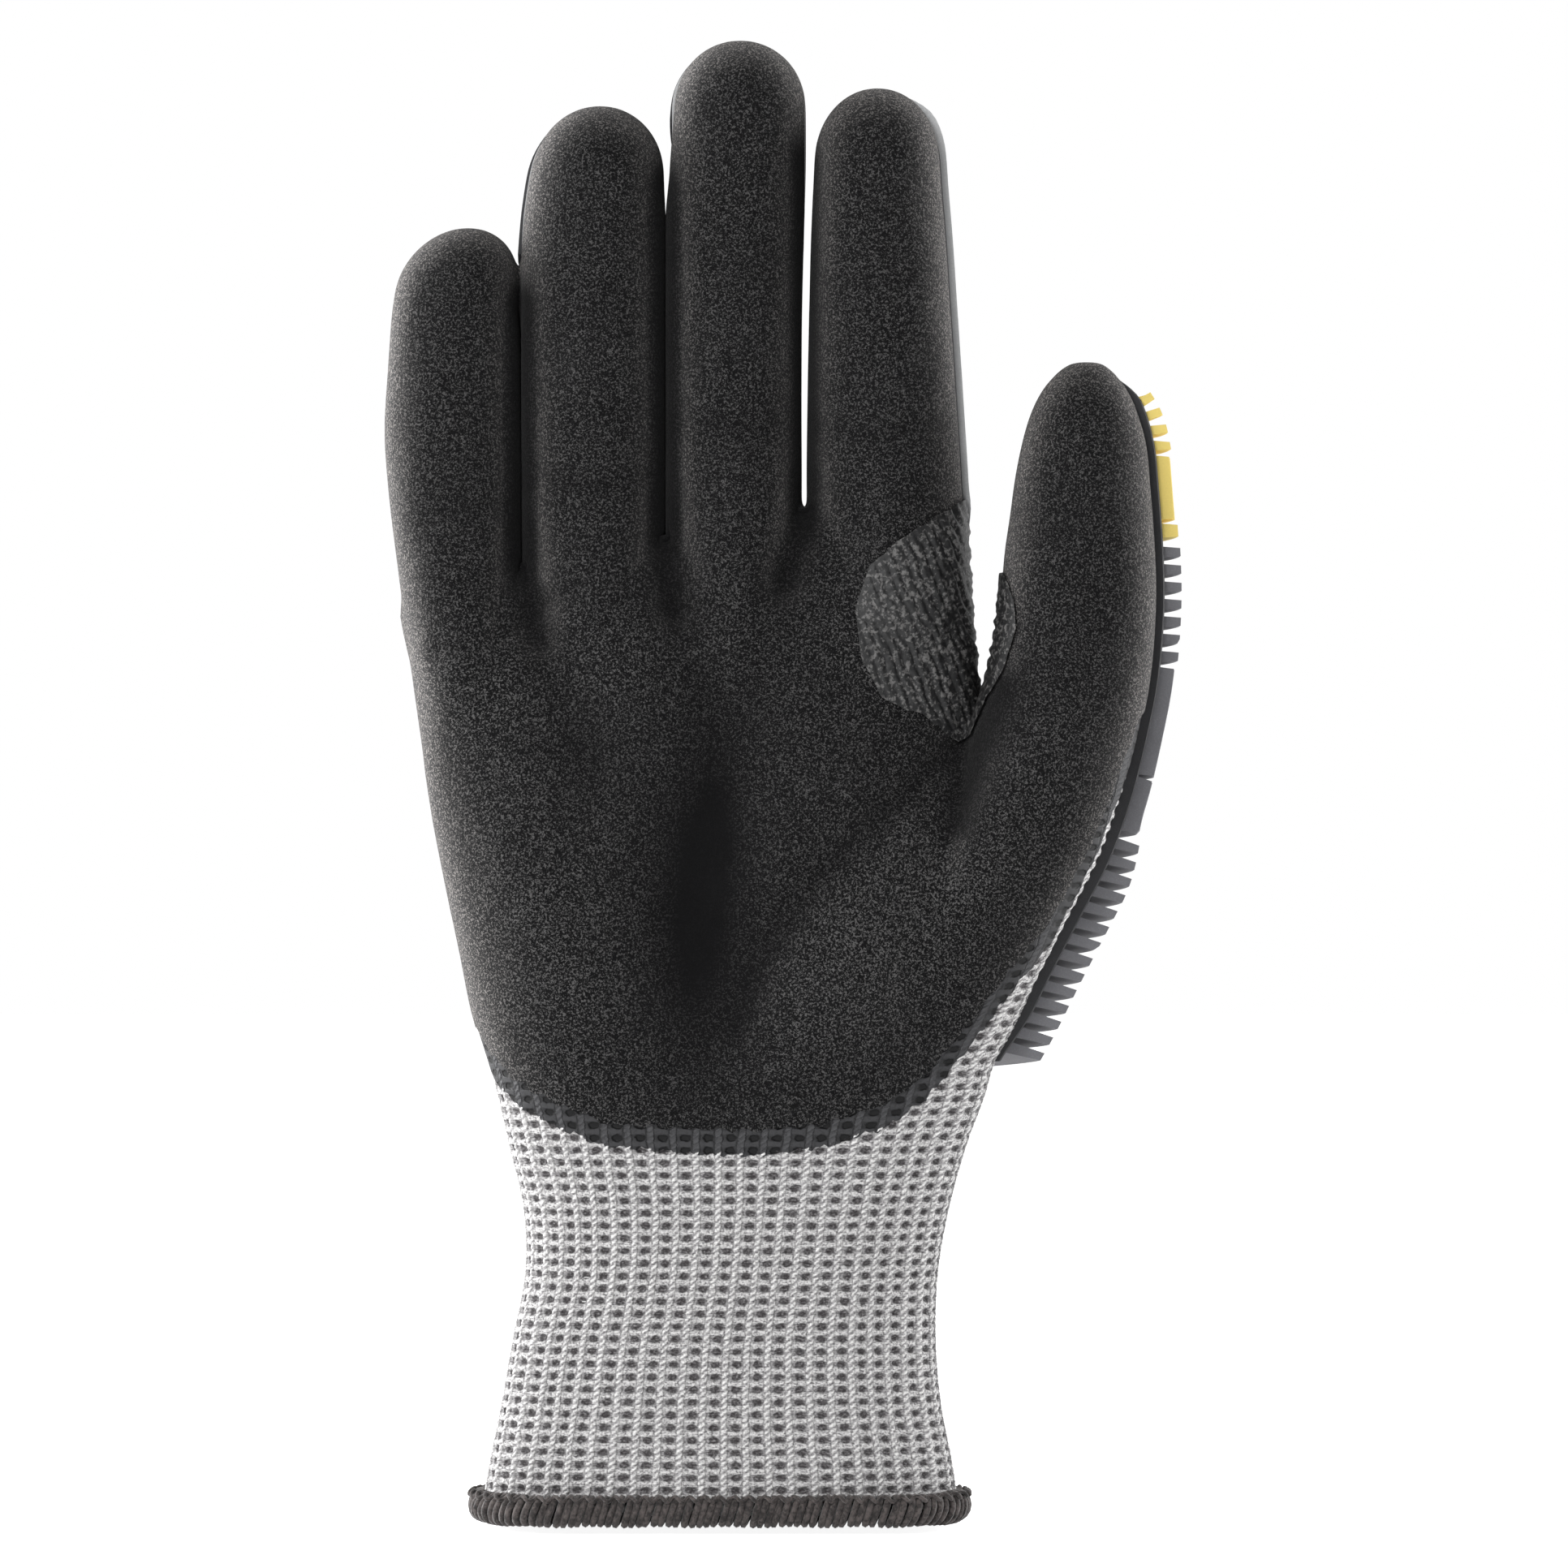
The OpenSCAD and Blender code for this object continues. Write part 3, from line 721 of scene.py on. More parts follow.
def band_material(colours):
    """Thin nitrile that has soaked into the knit, at the coat's foot."""

    def fill(t):
        knit, _ = t.knit()
        grain = t.grain(t.place(), 1500.0)
        # painted light: the knit's high spots turn lighter and its hollows darker; the grain then darkens the
        # nitrile's own tone
        relief_shading = t.mix(knit["Height"] * 0.7, colours.band_tone_and_shade, colours.band_highlight)
        colour = t.mix(grain["Mask"] * 0.3, relief_shading, colours.band_tone_and_shade)
        return {"Base Color": colour, "Normal": t.bump(knit["Height"], 0.0006)}

    return material("smooth_nitrile", fill, Roughness=0.6, Specular_IOR_Level=0.25)


def patch_material(colours):
    def fill(t):
        grain = t.grain(t.place(), 900.0)
        # painted glints: the grain's high spots take a lighter colour
        colour = t.mix(grain["Mask"], colours.patch_dark, colours.patch_grain_glint)
        return {
            "Base Color": colour,
            "Roughness": 0.42 + grain["Height"] * 0.35,
            "Normal": t.bump(grain["Height"], 0.00014),
        }

    return material("ridged_nitrile", fill, Specular_IOR_Level=0.6)


# moulded rubbers: darkest and lightest share of the colour, and roughness
RUBBERS = {
    "charcoal": (1, 2.2, 0.62),
    "grey": (1, 1.7, 0.62),
    # the edge is the grey rubber painted lighter, a painted rim highlight
    "edge": (1, 1.6, 0.62),
    "yellow": (0.86, 1, 0.55),
}


def rubber_material(kind, colour):
    """Moulded rubber: fine mould texture, with its colour a little chalky on the high spots."""
    *shares, roughness = RUBBERS[kind]
    dark, light = (tuple(v * share for v in colour) for share in shares)

    def fill(t):
        place = t.place()
        grain = t.grain(place, 3200.0)
        cloud = t.noise(place, 180.0, 3)
        colour = t.mix(grain["Mask"] * 0.25 + cloud * 0.5, dark, light)
        return {
            "Base Color": colour,
            "Roughness": roughness + grain["Height"] * 0.2,
            "Normal": t.bump(grain["Height"], 0.00006),
        }

    return material(f"{kind}_rubber", fill, Specular_IOR_Level=0.4)


def moulded(obj, kind, node):
    """Finishes a piece of moulded rubber. The light edges are grey rubber painted lighter, a painted rim
    highlight, and get a finish of their own.
    """
    slot = "grey" if kind == "edge" else kind
    return piece(obj, rubber_material(kind, getattr(colours(), kind)), node)


def thread_material(name, dark, light):
    """Textured thread, its fibres running along it."""

    def fill(t):
        place = t.place()
        fibres = t.noise(place, 2200.0, 3, 0.7)
        cloud = t.noise(place, 700.0, 2)
        colour = t.mix(t.smooth(0.38, 0.64, fibres * 0.6 + cloud * 0.4), dark, light)
        return {"Base Color": colour, "Normal": t.bump(fibres, 0.00012)}

    return material(name, fill, Roughness=0.85, Sheen_Weight=0.3, Sheen_Roughness=0.4)


# ---------- settings ----------


def colour_property(name, description, default):
    return FloatVectorProperty(name=name, description=description, default=default, subtype="COLOR",
                               min=0, max=1)


class GloveColours(bpy.types.PropertyGroup):
    # knit highlight is painted highlight on the stitches' raised legs and bars
    knit_bright: colour_property("Knit highlight", "Bright slanted legs of the stitches", (0.94, 0.93, 0.92))
    knit_light: colour_property("Knit light", "Light strands of the mixed yarn", (0.43, 0.42, 0.425))
    knit_dark: colour_property("Knit dark", "Dark strands of the mixed yarn", (0.085, 0.08, 0.085))
    # knit pit is painted shade in the holes between stitches
    knit_pit: colour_property("Knit pit", "Bottom of the holes between stitches", (0.035, 0.03, 0.032))
    coat_dark: colour_property("Coat", "Sandy coat", (0.0012, 0.0012, 0.0014))
    coat_worn: colour_property("Coat rubbed", "Sandy coat where it is rubbed", (0.006, 0.006, 0.0065))
    # coat speck: the grains' high spots painted lighter as glints
    coat_grain_glint: colour_property("Coat speck", "High grains of the sandy coat", (0.105, 0.103, 0.103))
    # coat rim and coat rim speck are painted rim highlights, for the coat and for its grains where it turns
    # away
    coat_painted_rim: colour_property("Coat rim", "Sandy coat where it turns away", (0.06, 0.059, 0.06))
    coat_grain_painted_rim: colour_property("Coat rim speck", "Grains where the coat turns away", (0.42, 0.39, 0.37))
    # band dark is the nitrile's own tone and painted shade in the knit's hollows; band light is painted
    # highlight on its high spots
    band_tone_and_shade: colour_property("Band dark", "Hollows of the thin nitrile band", (0.004, 0.004, 0.0045))
    band_highlight: colour_property("Band light", "High spots of the thin nitrile band", (0.085, 0.085, 0.09))
    patch_dark: colour_property("Patch", "Ridged patch", (0.004, 0.004, 0.0045))
    # patch rubbed: the grain's high spots painted lighter as glints
    patch_grain_glint: colour_property("Patch rubbed", "Ridged patch where it is rubbed", (0.11, 0.107, 0.105))
    charcoal: colour_property("Charcoal rubber", "Base strips of the guards", (0.022, 0.022, 0.024))
    grey: colour_property("Grey rubber", "Ribs and bumpers", (0.13, 0.13, 0.14))
    # guard edge: the guards' grey rubber painted light grey, a painted rim highlight of backlight on their
    # thin edges
    edge: colour_property("Guard edge", "Thin edges of the finger guards", (0.42, 0.425, 0.43))
    yellow: colour_property("Yellow rubber", "Bright bumpers", (0.93, 0.73, 0.2))
    hem: colour_property("Hem thread", "Overlock thread", (0.05, 0.042, 0.040))


class GloveSizes(bpy.types.PropertyGroup):
    grip_out: FloatProperty(name="Grip coat", description="How far the sandy coat stands out, in mm",
                            default=0.5, min=0.2, max=1)
    band_out: FloatProperty(name="Base coat", description="How far the base coat stands out, in mm",
                            default=0.16, min=0.05, max=0.4)
    band_width: FloatProperty(name="Band", description="Width of the bare base coat at the foot, in mm",
                              default=4.0, min=2, max=8)
    knit_thickness: FloatProperty(name="Knit", description="Thickness of the knitted wall, in mm",
                                  default=1.1, min=0.6, max=2)
    wales: IntProperty(name="Wales", description="Columns of stitches round the cuff",
                       default=50, min=30, max=90)
    course: FloatProperty(name="Course", description="Height of one row of stitches, in mm",
                          default=2.1, min=1, max=4)
    wraps: IntProperty(name="Wraps", description="Turns of thread round the hem",
                       default=150, min=80, max=240)


class GloveStage(bpy.types.PropertyGroup):
    view_height: FloatProperty(name="View height", description="Height that the camera looks at",
                               default=0.12505, unit="LENGTH")
    view_side: FloatProperty(name="View side", description="Sideways place of the camera",
                             default=0.0108, unit="LENGTH")
    view_width: FloatProperty(name="View width", description="Width of the view at the glove",
                              default=0.2637, unit="LENGTH")
    distance: FloatProperty(name="Distance", description="From the camera to the glove",
                            default=1.35, unit="LENGTH")


def sizes():
    return bpy.context.scene.glove_sizes


def colours():
    return bpy.context.scene.glove_colours


# the hand's form and its search tree, built once and used by most operators
KIT = {}


def form():
    """The hand's form, hidden: every piece is a copy of it, is cut with it or lies on it."""
    if "form" not in KIT:
        KIT["form"] = hand_form()
        KIT["form"].hide_render = True
    return KIT["form"]


def zone_ends(name, at):
    """Where one of a finger's bending zones starts and ends."""
    i = ZONES.index(at)
    return finger_heights(name)[i : i + 2]


def thumb_heights():
    """Where the thumb's lower bend starts and ends, and where its upper bend does."""
    swing, bend = joint_height("thumb_swing"), joint_height("thumb_tip_bend")
    cut = (swing + bend) / 2
    return THUMB_FOLD, 2 * swing - THUMB_FOLD, cut, 2 * bend - cut


def zone_cutter(name, at):
    """A solid that holds one bending zone of a finger or the thumb, and nothing else."""
    if name == "thumb":
        low, _, cut, _ = thumb_heights()
        return box_solid(THUMB_SIDE, FAR, -DEEP, DEEP, *((low, cut) if at == "base" else (cut, ABOVE)))
    low, high = zone_ends(name, at)
    return box_solid(*finger_span(name), -DEEP, DEEP, low, ABOVE if at == "tip" else high)


def settle(obj, name, at):
    """Rides a piece on the palm, or, in a bending zone, only bakes its transform into its mesh."""
    if at == "root":
        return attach(obj, "palm")
    if name == "thumb":
        low, swung, cut, high = thumb_heights()
        bodies, ends = {
            "base": (("palm", "thumb_lower"), (low, swung)),
            "tip": (("thumb_lower", "thumb_upper"), (cut, high)),
        }[at]
    else:
        i = ZONES.index(at)
        bodies = ("palm", f"{name}_proximal", f"{name}_middle", f"{name}_distal")[i : i + 2]
        ends = zone_ends(name, at)
    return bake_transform(obj)


def shared_out(shell, palm_name, word, finish, palm_node, kind, back_name=None):
    """Cuts a shell over the whole hand into a palm piece and one piece for each bending zone.

    With a back_name, the palm piece is cut once more into its front and its back.
    """
    zones = [(name, at) for name in FINGERS for at in ZONES] + [("thumb", "base"), ("thumb", "tip")]
    for name, at in zones:
        part = copy_of(shell, f"{name}_{word}_{at}")
        boolean(part, zone_cutter(name, at), "INTERSECT")
        finish(part, f"{name}_{kind}_{at}")
        settle(part, name, at)
    for name in FINGERS:
        left, right = finger_span(name)
        boolean(shell, box_solid(left - 0.03, right + 0.03, -DEEP, DEEP, finger_heights(name)[0], ABOVE))
    boolean(shell, box_solid(THUMB_SIDE, FAR, -DEEP, DEEP, THUMB_FOLD, ABOVE))
    shell.name = palm_name
    parts = [shell]
    if back_name:
        parts.append(copy_of(shell, back_name))
        boolean(parts[0], box_solid(-FAR, FAR, 1, DEEP, -20, ABOVE))
        boolean(parts[1], box_solid(-FAR, FAR, -DEEP, 1, -20, ABOVE))
    for part in parts:
        finish(part, palm_node)
        settle(part, "palm", "root")


def wavy(points, step=1.2, amount=0.3, seed=1.0):
    """An edge with the small waves that dipping leaves."""
    out = []
    for (x0, z0), (x1, z1) in zip(points, points[1:]):
        count = max(1, int(math.hypot(x1 - x0, z1 - z0) / step))
        for i in range(count):
            x, z = x0 + (x1 - x0) * i / count, z0 + (z1 - z0) * i / count
            wave = math.sin(x * 1.7 + seed) + 0.7 * math.sin(x * 3.9 + 2 * seed)
            wave += 0.5 * math.sin(z * 2.7 + seed)
            out.append((x, z + amount * wave))
    return [*out, points[-1]]


def coat_outline(raised_by):
    """The sandy coat's outline on the palm side, its lower edge raised."""
    edge = wavy([(x, z + raised_by) for x, z in COAT_EDGE])
    return [*edge, (FAR, 150), (FAR, ABOVE), (-FAR, ABOVE), (-FAR, 95)]


# where the cuff's knit ends and the hand's begins
CUFF_TOP = 98.0


def ring_shape(z):
    """Ends of the straight sides, half depth and middle depth of the knitted tube at a height."""
    z = np.minimum(z, CUFF_TOP)
    left, right, front, back = np.moveaxis(along(PALM, z), -1, 0)
    root = along(THUMB, np.maximum(z, THUMB[0][0]))[..., 1]
    right = np.maximum(right, np.where(z >= THUMB[0][0], root, 0))
    half = (back - front) / 2
    return left + half, right - half, half, (front + back) / 2


def round_the_tube(share, z):
    """Base point and direction of the ray at a share of the way round, from the middle of the back."""
    a, b, r, y0 = ring_shape(z)
    straight, cap = b - a, math.pi * r
    s = share * (2 * straight + 2 * cap)
    middle = (a + b) / 2
    left_turn = (s - straight / 2) / r
    right_turn = (s - 1.5 * straight - cap) / r
    pick = [s < straight / 2, s < straight / 2 + cap, s < 1.5 * straight + cap, s < 1.5 * straight + 2 * cap]
    x = np.select(pick, [middle - s, a, a + s - straight / 2 - cap, b], b - (s - 1.5 * straight - 2 * cap))
    dx = np.select(pick, [0 * s, -np.sin(left_turn), 0 * s, np.sin(right_turn)], 0 * s)
    dy = np.select(pick, [1 + 0 * s, np.cos(left_turn), -1 + 0 * s, -np.cos(right_turn)], 1 + 0 * s)
    return x, y0, dx, dy


def share_round(co):
    """The inverse: the share of the way round of points in millimetres."""
    x, y, z = co.T
    a, b, r, y0 = ring_shape(z)
    straight, cap = b - a, math.pi * r
    middle, y = (a + b) / 2, y - y0
    left_turn = np.arctan2(np.maximum(a - x, 0), y)
    right_turn = np.arctan2(np.maximum(x - b, 0), -y)
    whole = 2 * straight + 2 * cap
    on_left, on_right = straight / 2 + r * left_turn, 1.5 * straight + cap + r * right_turn
    s = np.select(
        [x < a, x > b, y < 0, x <= middle],
        [on_left, on_right, straight / 2 + cap + x - a, middle - x],
        whole - (x - middle),
    )
    return s / whole


def set_stitch_uv(mesh, uv):
    """Writes the column and row of each point, one pair per corner of a face."""
    layer = mesh.uv_layers.get("stitches") or mesh.uv_layers.new(name="stitches")
    layer.data.foreach_set("uv", np.ascontiguousarray(uv, np.float32).ravel())


def corners_of(mesh):
    index = np.empty(len(mesh.loops), np.int32)
    mesh.loops.foreach_get("vertex_index", index)
    return index


def stitch_places(co):
    """Column and row of stitches at points in millimetres."""
    return np.stack([share_round(co) * sizes().wales, co[:, 2] / sizes().course], 1)


def stitch_uv(obj):
    mesh = obj.data
    set_stitch_uv(mesh, stitch_places(points_of(mesh) / MM)[corners_of(mesh)])


def under_coat(co):
    """1 where the coat covers the knit, in millimetres."""
    edge = np.array(COAT_EDGE)
    foot = np.interp(co[:, 0], edge[:, 0], edge[:, 1])
    return smoothstep(0.2, 1.2, co[:, 2] - foot) * (co[:, 1] < COAT_BACK + 0.6)


def knit_relief(uv):
    """How far the knit stands from its middle surface, in millimetres."""
    height = stitch(Numbers, uv[:, 0], uv[:, 1])[0]
    return (height - 0.72) * 0.62


def surface_tree():
    if "tree" not in KIT:
        mesh = form().data
        mesh.calc_loop_triangles()
        bm = bmesh.new()
        bm.from_mesh(mesh)
        KIT["tree"] = BVHTree.FromBMesh(bm)
        bm.free()
    return KIT["tree"]


def cast(points, directions):
    """Where rays from inside meet the hand's form, in millimetres. A ray that misses ends 12 mm out."""
    tree = surface_tree()
    out = np.empty((len(points), 3))
    for i, (p, d) in enumerate(zip(points * MM, directions)):
        hit = tree.ray_cast(Vector(p), Vector(d), 0.08)[0]
        out[i] = hit if hit is not None else p + d * 0.012
    return out / MM


# ---------- pieces ----------


class GLOVE_OT_coat(bpy.types.Operator):
    """Sandy coat over the palm, the fingers and the thumb"""

    bl_idname = "glove.coat"
    bl_label = "Sandy Coat"

    def execute(self, _context):
        shell = grown("coat", sizes().grip_out)
        boolean(shell, prism(coat_outline(sizes().band_width), -DEEP, COAT_BACK), "INTERSECT")
        boolean(shell, grown("coat_inner", -0.35))

        def finish(obj, node):
            set_wear_and_shade(obj)
            soft_shaded(obj)
            piece(obj, sandy_material(colours()), node)

        shared_out(shell, "palm_grip", "grip", finish, "palm_grip_coat", "coat")
        return {"FINISHED"}


class GLOVE_OT_base_coat(bpy.types.Operator):
    """Thin smooth nitrile that shows as a band at the sandy coat's foot"""

    bl_idname = "glove.base_coat"
    bl_label = "Base Coat"

    def execute(self, _context):
        s = sizes()
        band = grown("palm_base_band", s.band_out)
        low = wavy(COAT_EDGE, step=0.7, seed=4.0)
        high = [(x, z + s.band_width + 5) for x, z in reversed(COAT_EDGE)]
        boolean(band, prism(low + high, -DEEP, COAT_BACK + 0.8), "INTERSECT")
        boolean(band, grown("band_inner", -0.5))
        stitch_uv(band)
        soft_shaded(band)
        piece(band, band_material(colours()), "palm_base_coat")
        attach(band, "palm")
        return {"FINISHED"}


class GLOVE_OT_cuff(bpy.types.Operator):
    """Knitted cuff and wrist with every stitch raised, in three bands"""

    bl_idname = "glove.cuff"
    bl_label = "Knitted Cuff"

    def execute(self, _context):
        s = sizes()
        around, low, bands = 560, 3.2, ("low", "middle", "high")
        rows = round((CUFF_TOP - low) / 0.42 / len(bands))
        for i, at in enumerate(bands):
            z0 = low + (CUFF_TOP - low) * i / len(bands)
            z1 = low + (CUFF_TOP - low) * (i + 1) / len(bands)
            bm = bmesh.new()
            bmesh.ops.create_grid(bm, x_segments=around, y_segments=rows, size=0.5)
            bm.normal_update()
            band = object_from(bm, f"cuff_knit_{at}")
            flat = points_of(band.data)
            share, z = flat[:, 0] + 0.5, z0 + (flat[:, 1] + 0.5) * (z1 - z0)
            x, y, dx, dy = round_the_tube(share, z)
            uv = np.stack([share * s.wales, z / s.course], 1)
            rays = np.stack([dx, dy, 0 * dx], 1)
            skin = cast(np.stack([x, y, z], 1), rays)
            covered = under_coat(skin)
            co = skin + rays * (knit_relief(uv) * (1 - covered) - 0.2 * covered)[:, None]
            set_points(band.data, co * MM)
            set_stitch_uv(band.data, uv[corners_of(band.data)])
            bm = bmesh.new()
            bm.from_mesh(band.data)
            bmesh.ops.remove_doubles(bm, verts=bm.verts, dist=0.01 * MM)
            bm.normal_update()
            front = min(bm.faces, key=lambda f: f.calc_center_median().y)
            if front.normal.y > 0:
                bmesh.ops.reverse_faces(bm, faces=bm.faces)
            bm.to_mesh(band.data)
            bm.free()
            applied(band, ("SOLIDIFY", {"thickness": 0.9 * MM, "offset": -1.0}))
            soft_shaded(band, 75)
            piece(band, knit_material(colours()), "cuff_liner")
            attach(band, "palm")
        return {"FINISHED"}


class GLOVE_OT_liner(bpy.types.Operator):
    """Knitted liner of the hand, the fingers and the thumb"""

    bl_idname = "glove.liner"
    bl_label = "Knitted Liner"

    def execute(self, _context):
        shell = copy_of(form(), "liner")
        co, normals = points_of(shell.data), normals_of(shell.data)
        depth = knit_relief(stitch_places(co / MM)) * 0.6 - 0.05
        set_points(shell.data, co + normals * depth[:, None] * MM)
        boolean(shell, grown("liner_inner", -sizes().knit_thickness))
        boolean(shell, box_solid(-FAR, FAR, -DEEP, DEEP, -20, CUFF_TOP - 0.02))

        def finish(obj, node):
            stitch_uv(obj)
            soft_shaded(obj, 60)
            piece(obj, knit_material(colours()), node)

        shared_out(shell, "hand_knit_front", "knit", finish, "hand_liner", "liner", "hand_knit_back")
        return {"FINISHED"}


# the patch's outline, from its upper right round its foot: x, z
PATCH = [
    (45, 175), (36, 169.5), (30.4, 166), (25, 161.3), (22.7, 154.5), (23.6, 146.3), (27, 139.5),
    (31, 137.5), (33.9, 136.8), (37.3, 134), (40, 132), (41.6, 133.0), (44.5, 139.5), (47.4, 144.5),
    (49.3, 151), (49.0, 155.5), (47.4, 160.2), (45, 160.3),
]


class GLOVE_OT_patch(bpy.types.Operator):
    """Ridged patch over the crotch between thumb and index finger"""

    bl_idname = "glove.patch"
    bl_label = "Crotch Patch"

    def execute(self, _context):
        patch = copy_of(form(), "crotch_patch")
        boolean(patch, box_solid(19, 53, -40, 12, 127, 178), "INTERSECT")
        applied(
            patch,
            ("REMESH", {"mode": "VOXEL", "voxel_size": 0.33 * MM}),
            ("SMOOTH", {"factor": 0.5, "iterations": 4}),
        )
        co, normals = points_of(patch.data), normals_of(patch.data)
        x, _, z = (co / MM).T
        wobble = 1.3 * np.sin(z * 0.35 + x * 0.1) + 0.6 * np.sin(z * 0.9 - x * 0.5)
        wobble += 0.35 * np.sin(x * 1.3 + z * 1.9)
        ridge = np.abs(np.sin((x * 0.9 + z * 0.4 + wobble * 0.22) * math.pi / 1.45)) ** 0.7
        ridge *= 0.72 + 0.28 * np.sin(z * 3.1 + x * 1.7) * np.sin(z * 1.3 - x * 4.1)
        rim = np.exp(-((polyline_distance(x, z, PATCH[1:]) / 0.9) ** 2))
        lift = 0.8 + 0.58 * ridge * (1 - rim) + 0.35 * rim
        set_points(patch.data, co + normals * lift[:, None] * MM)
        boolean(patch, prism(wavy(PATCH, step=1.0, amount=0.12, seed=2.0), -DEEP, 7), "INTERSECT")
        boolean(patch, grown("patch_inner", 0.42))
        rim_piece = copy_of(patch, "crotch_patch_rim")
        boolean(rim_piece, zone_cutter("thumb", "base"), "INTERSECT")
        boolean(patch, zone_cutter("thumb", "base"))
        for obj, at in ((patch, "root"), (rim_piece, "base")):
            soft_shaded(obj, 50)
            piece(obj, patch_material(colours()), "thumb_crotch_patch")
            settle(obj, "thumb", at)
        return {"FINISHED"}


# the wraps' lowest point over the hem's edge
HEM_LIFT = 1.1


def stadium(width, depth, s):
    """Points and outward directions round a loop with straight sides; s is the way along it."""
    r = depth / 2
    straight, cap = width - depth, math.pi * r
    s = np.mod(s, 2 * straight + 2 * cap)
    a1, a2 = (s - straight) / r, (s - 2 * straight - cap) / r
    pick = [s < straight, s < straight + cap, s < 2 * straight + cap]
    x = np.select(pick, [s - straight / 2, straight / 2 + r * np.sin(a1), 1.5 * straight + cap - s],
                  -straight / 2 - r * np.sin(a2))
    y = np.select(pick, [0 * s - r, -r * np.cos(a1), 0 * s + r], r * np.cos(a2))
    dx = np.select(pick, [0 * s, np.sin(a1), 0 * s], -np.sin(a2))
    dy = np.select(pick, [0 * s - 1, -np.cos(a1), 0 * s + 1], np.cos(a2))
    return x, y, dx, dy


def stadium_length(width, depth):
    return 2 * (width - depth) + math.pi * depth


def thread(name, runs, radius, closed=True):
    """A thread of round section through each run of points in millimetres, as a mesh."""
    curve = bpy.data.curves.new(name, "CURVE")
    curve.dimensions = "3D"
    curve.bevel_depth, curve.bevel_resolution = radius * MM, 1
    curve.use_fill_caps = True
    for points in runs:
        spline = curve.splines.new("POLY")
        spline.points.add(len(points) - 1)
        spline.points.foreach_set("co", np.column_stack([points * MM, np.ones(len(points))]).ravel())
        spline.use_cyclic_u = closed
    holder = object_of(name, curve)
    mesh = bpy.data.meshes.new_from_object(holder.evaluated_get(bpy.context.evaluated_depsgraph_get()))
    bpy.data.objects.remove(holder)
    bpy.data.curves.remove(curve)
    mesh.name = name
    made = object_of(name, mesh)
    made.data.shade_smooth()
    return made


class GLOVE_OT_hem(bpy.types.Operator):
    """Overlocked hem: thread wrapped round the cuff's edge, and its chain of stitches"""

    bl_idname = "glove.hem"
    bl_label = "Overlocked Hem"

    def execute(self, _context):
        s = sizes()
        low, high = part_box("cuff_hem")
        width, depth = (high.x - low.x) / MM, (high.y - low.y) / MM
        across, half_h, radius = 2.0, 2.2, 0.62
        inset = 2 * (across + radius)
        length = stadium_length(width - inset, depth - inset)
        turns, each = s.wraps, 16
        t = np.arange(turns * each) / each
        angle = t * 2 * math.pi
        uneven = 0.14 * np.sin(t * 1.1) * np.sin(t * 0.37 + 1) + 0.1 * np.sin(t * 2.9)
        way = t / turns * length + 0.95 * np.cos(angle) + uneven
        x, y, dx, dy = stadium(width - inset, depth - inset, way)
        out = (across + 0.12 * np.sin(t * 0.83)) * np.sin(angle)
        z = HEM_LIFT + half_h + radius + (half_h + 0.1 * np.sin(t * 0.71 + 1)) * np.cos(angle)
        wraps = thread("hem_wraps", [np.stack([x + dx * out, y + dy * out, z], 1)], radius)
        dark, light = (tuple(c * share for c in colours().hem) for share in (0.3, 2.0))
        finish = thread_material("overlock_thread", dark, light)
        piece(wraps, finish, "cuff_hem")
        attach(wraps, "palm")

        chains = []
        for phase in (0.0, 0.5):
            loops = round(length / 2.5)
            t = np.arange(loops * 10) / 10 + phase
            x, y, dx, dy = stadium(width - inset, depth - inset, t / loops * length)
            out = across - 0.15 + 0.42 * np.sin(t * 2 * math.pi)
            z = HEM_LIFT + 2 * half_h + 0.55 + 0.42 * np.cos(t * 2 * math.pi + 0.5)
            chains.append(np.stack([x + dx * out, y + dy * out, z], 1))
        chain = thread("hem_chain", chains, 0.33)
        piece(chain, finish, "hem_stitching")
        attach(chain, "palm")
        return {"FINISHED"}


# ---------- moulded guards ----------


def slab(name, us, vs, place):
    """A closed slab over a grid of lines us by vs. place gets u, v and whether the point is on top."""
    bm = bmesh.new()
    bmesh.ops.create_grid(bm, x_segments=len(us) - 1, y_segments=len(vs) - 1, size=0.5)
    top = bmesh.ops.extrude_face_region(bm, geom=bm.faces[:], use_keep_orig=True)["geom"]
    bmesh.ops.translate(bm, verts=[v for v in top if isinstance(v, bmesh.types.BMVert)], vec=(0, 0, 1))
    bmesh.ops.recalc_face_normals(bm, faces=bm.faces)
    made = object_from(bm, name)
    flat = points_of(made.data)
    column = np.rint((flat[:, 0] + 0.5) * (len(us) - 1)).astype(int)
    row = np.rint((flat[:, 1] + 0.5) * (len(vs) - 1)).astype(int)
    co = place(np.asarray(us, float)[column], np.asarray(vs, float)[row], flat[:, 2] > 0.5)
    set_points(made.data, co * MM)
    bm = bmesh.new()
    bm.from_mesh(made.data)
    if bm.calc_volume(signed=True) < 0:
        bmesh.ops.reverse_faces(bm, faces=bm.faces)
    bm.to_mesh(made.data)
    bm.free()
    soft_shaded(made, 32)
    return made


def fine_lines(low, high, step, edges=(), soft=0.14):
    """Grid lines from low to high, with a close pair at every edge of a raised shape."""
    lines = list(np.linspace(low, high, max(2, int(round((high - low) / step)) + 1)))
    for edge in edges:
        for near in (edge - soft, edge + soft):
            if low < near < high:
                lines.append(near)
    lines = sorted(lines)
    kept = [lines[0]]
    for line in lines[1:]:
        if line - kept[-1] > soft * 0.6:
            kept.append(line)
    kept[-1] = high
    return np.array(kept)


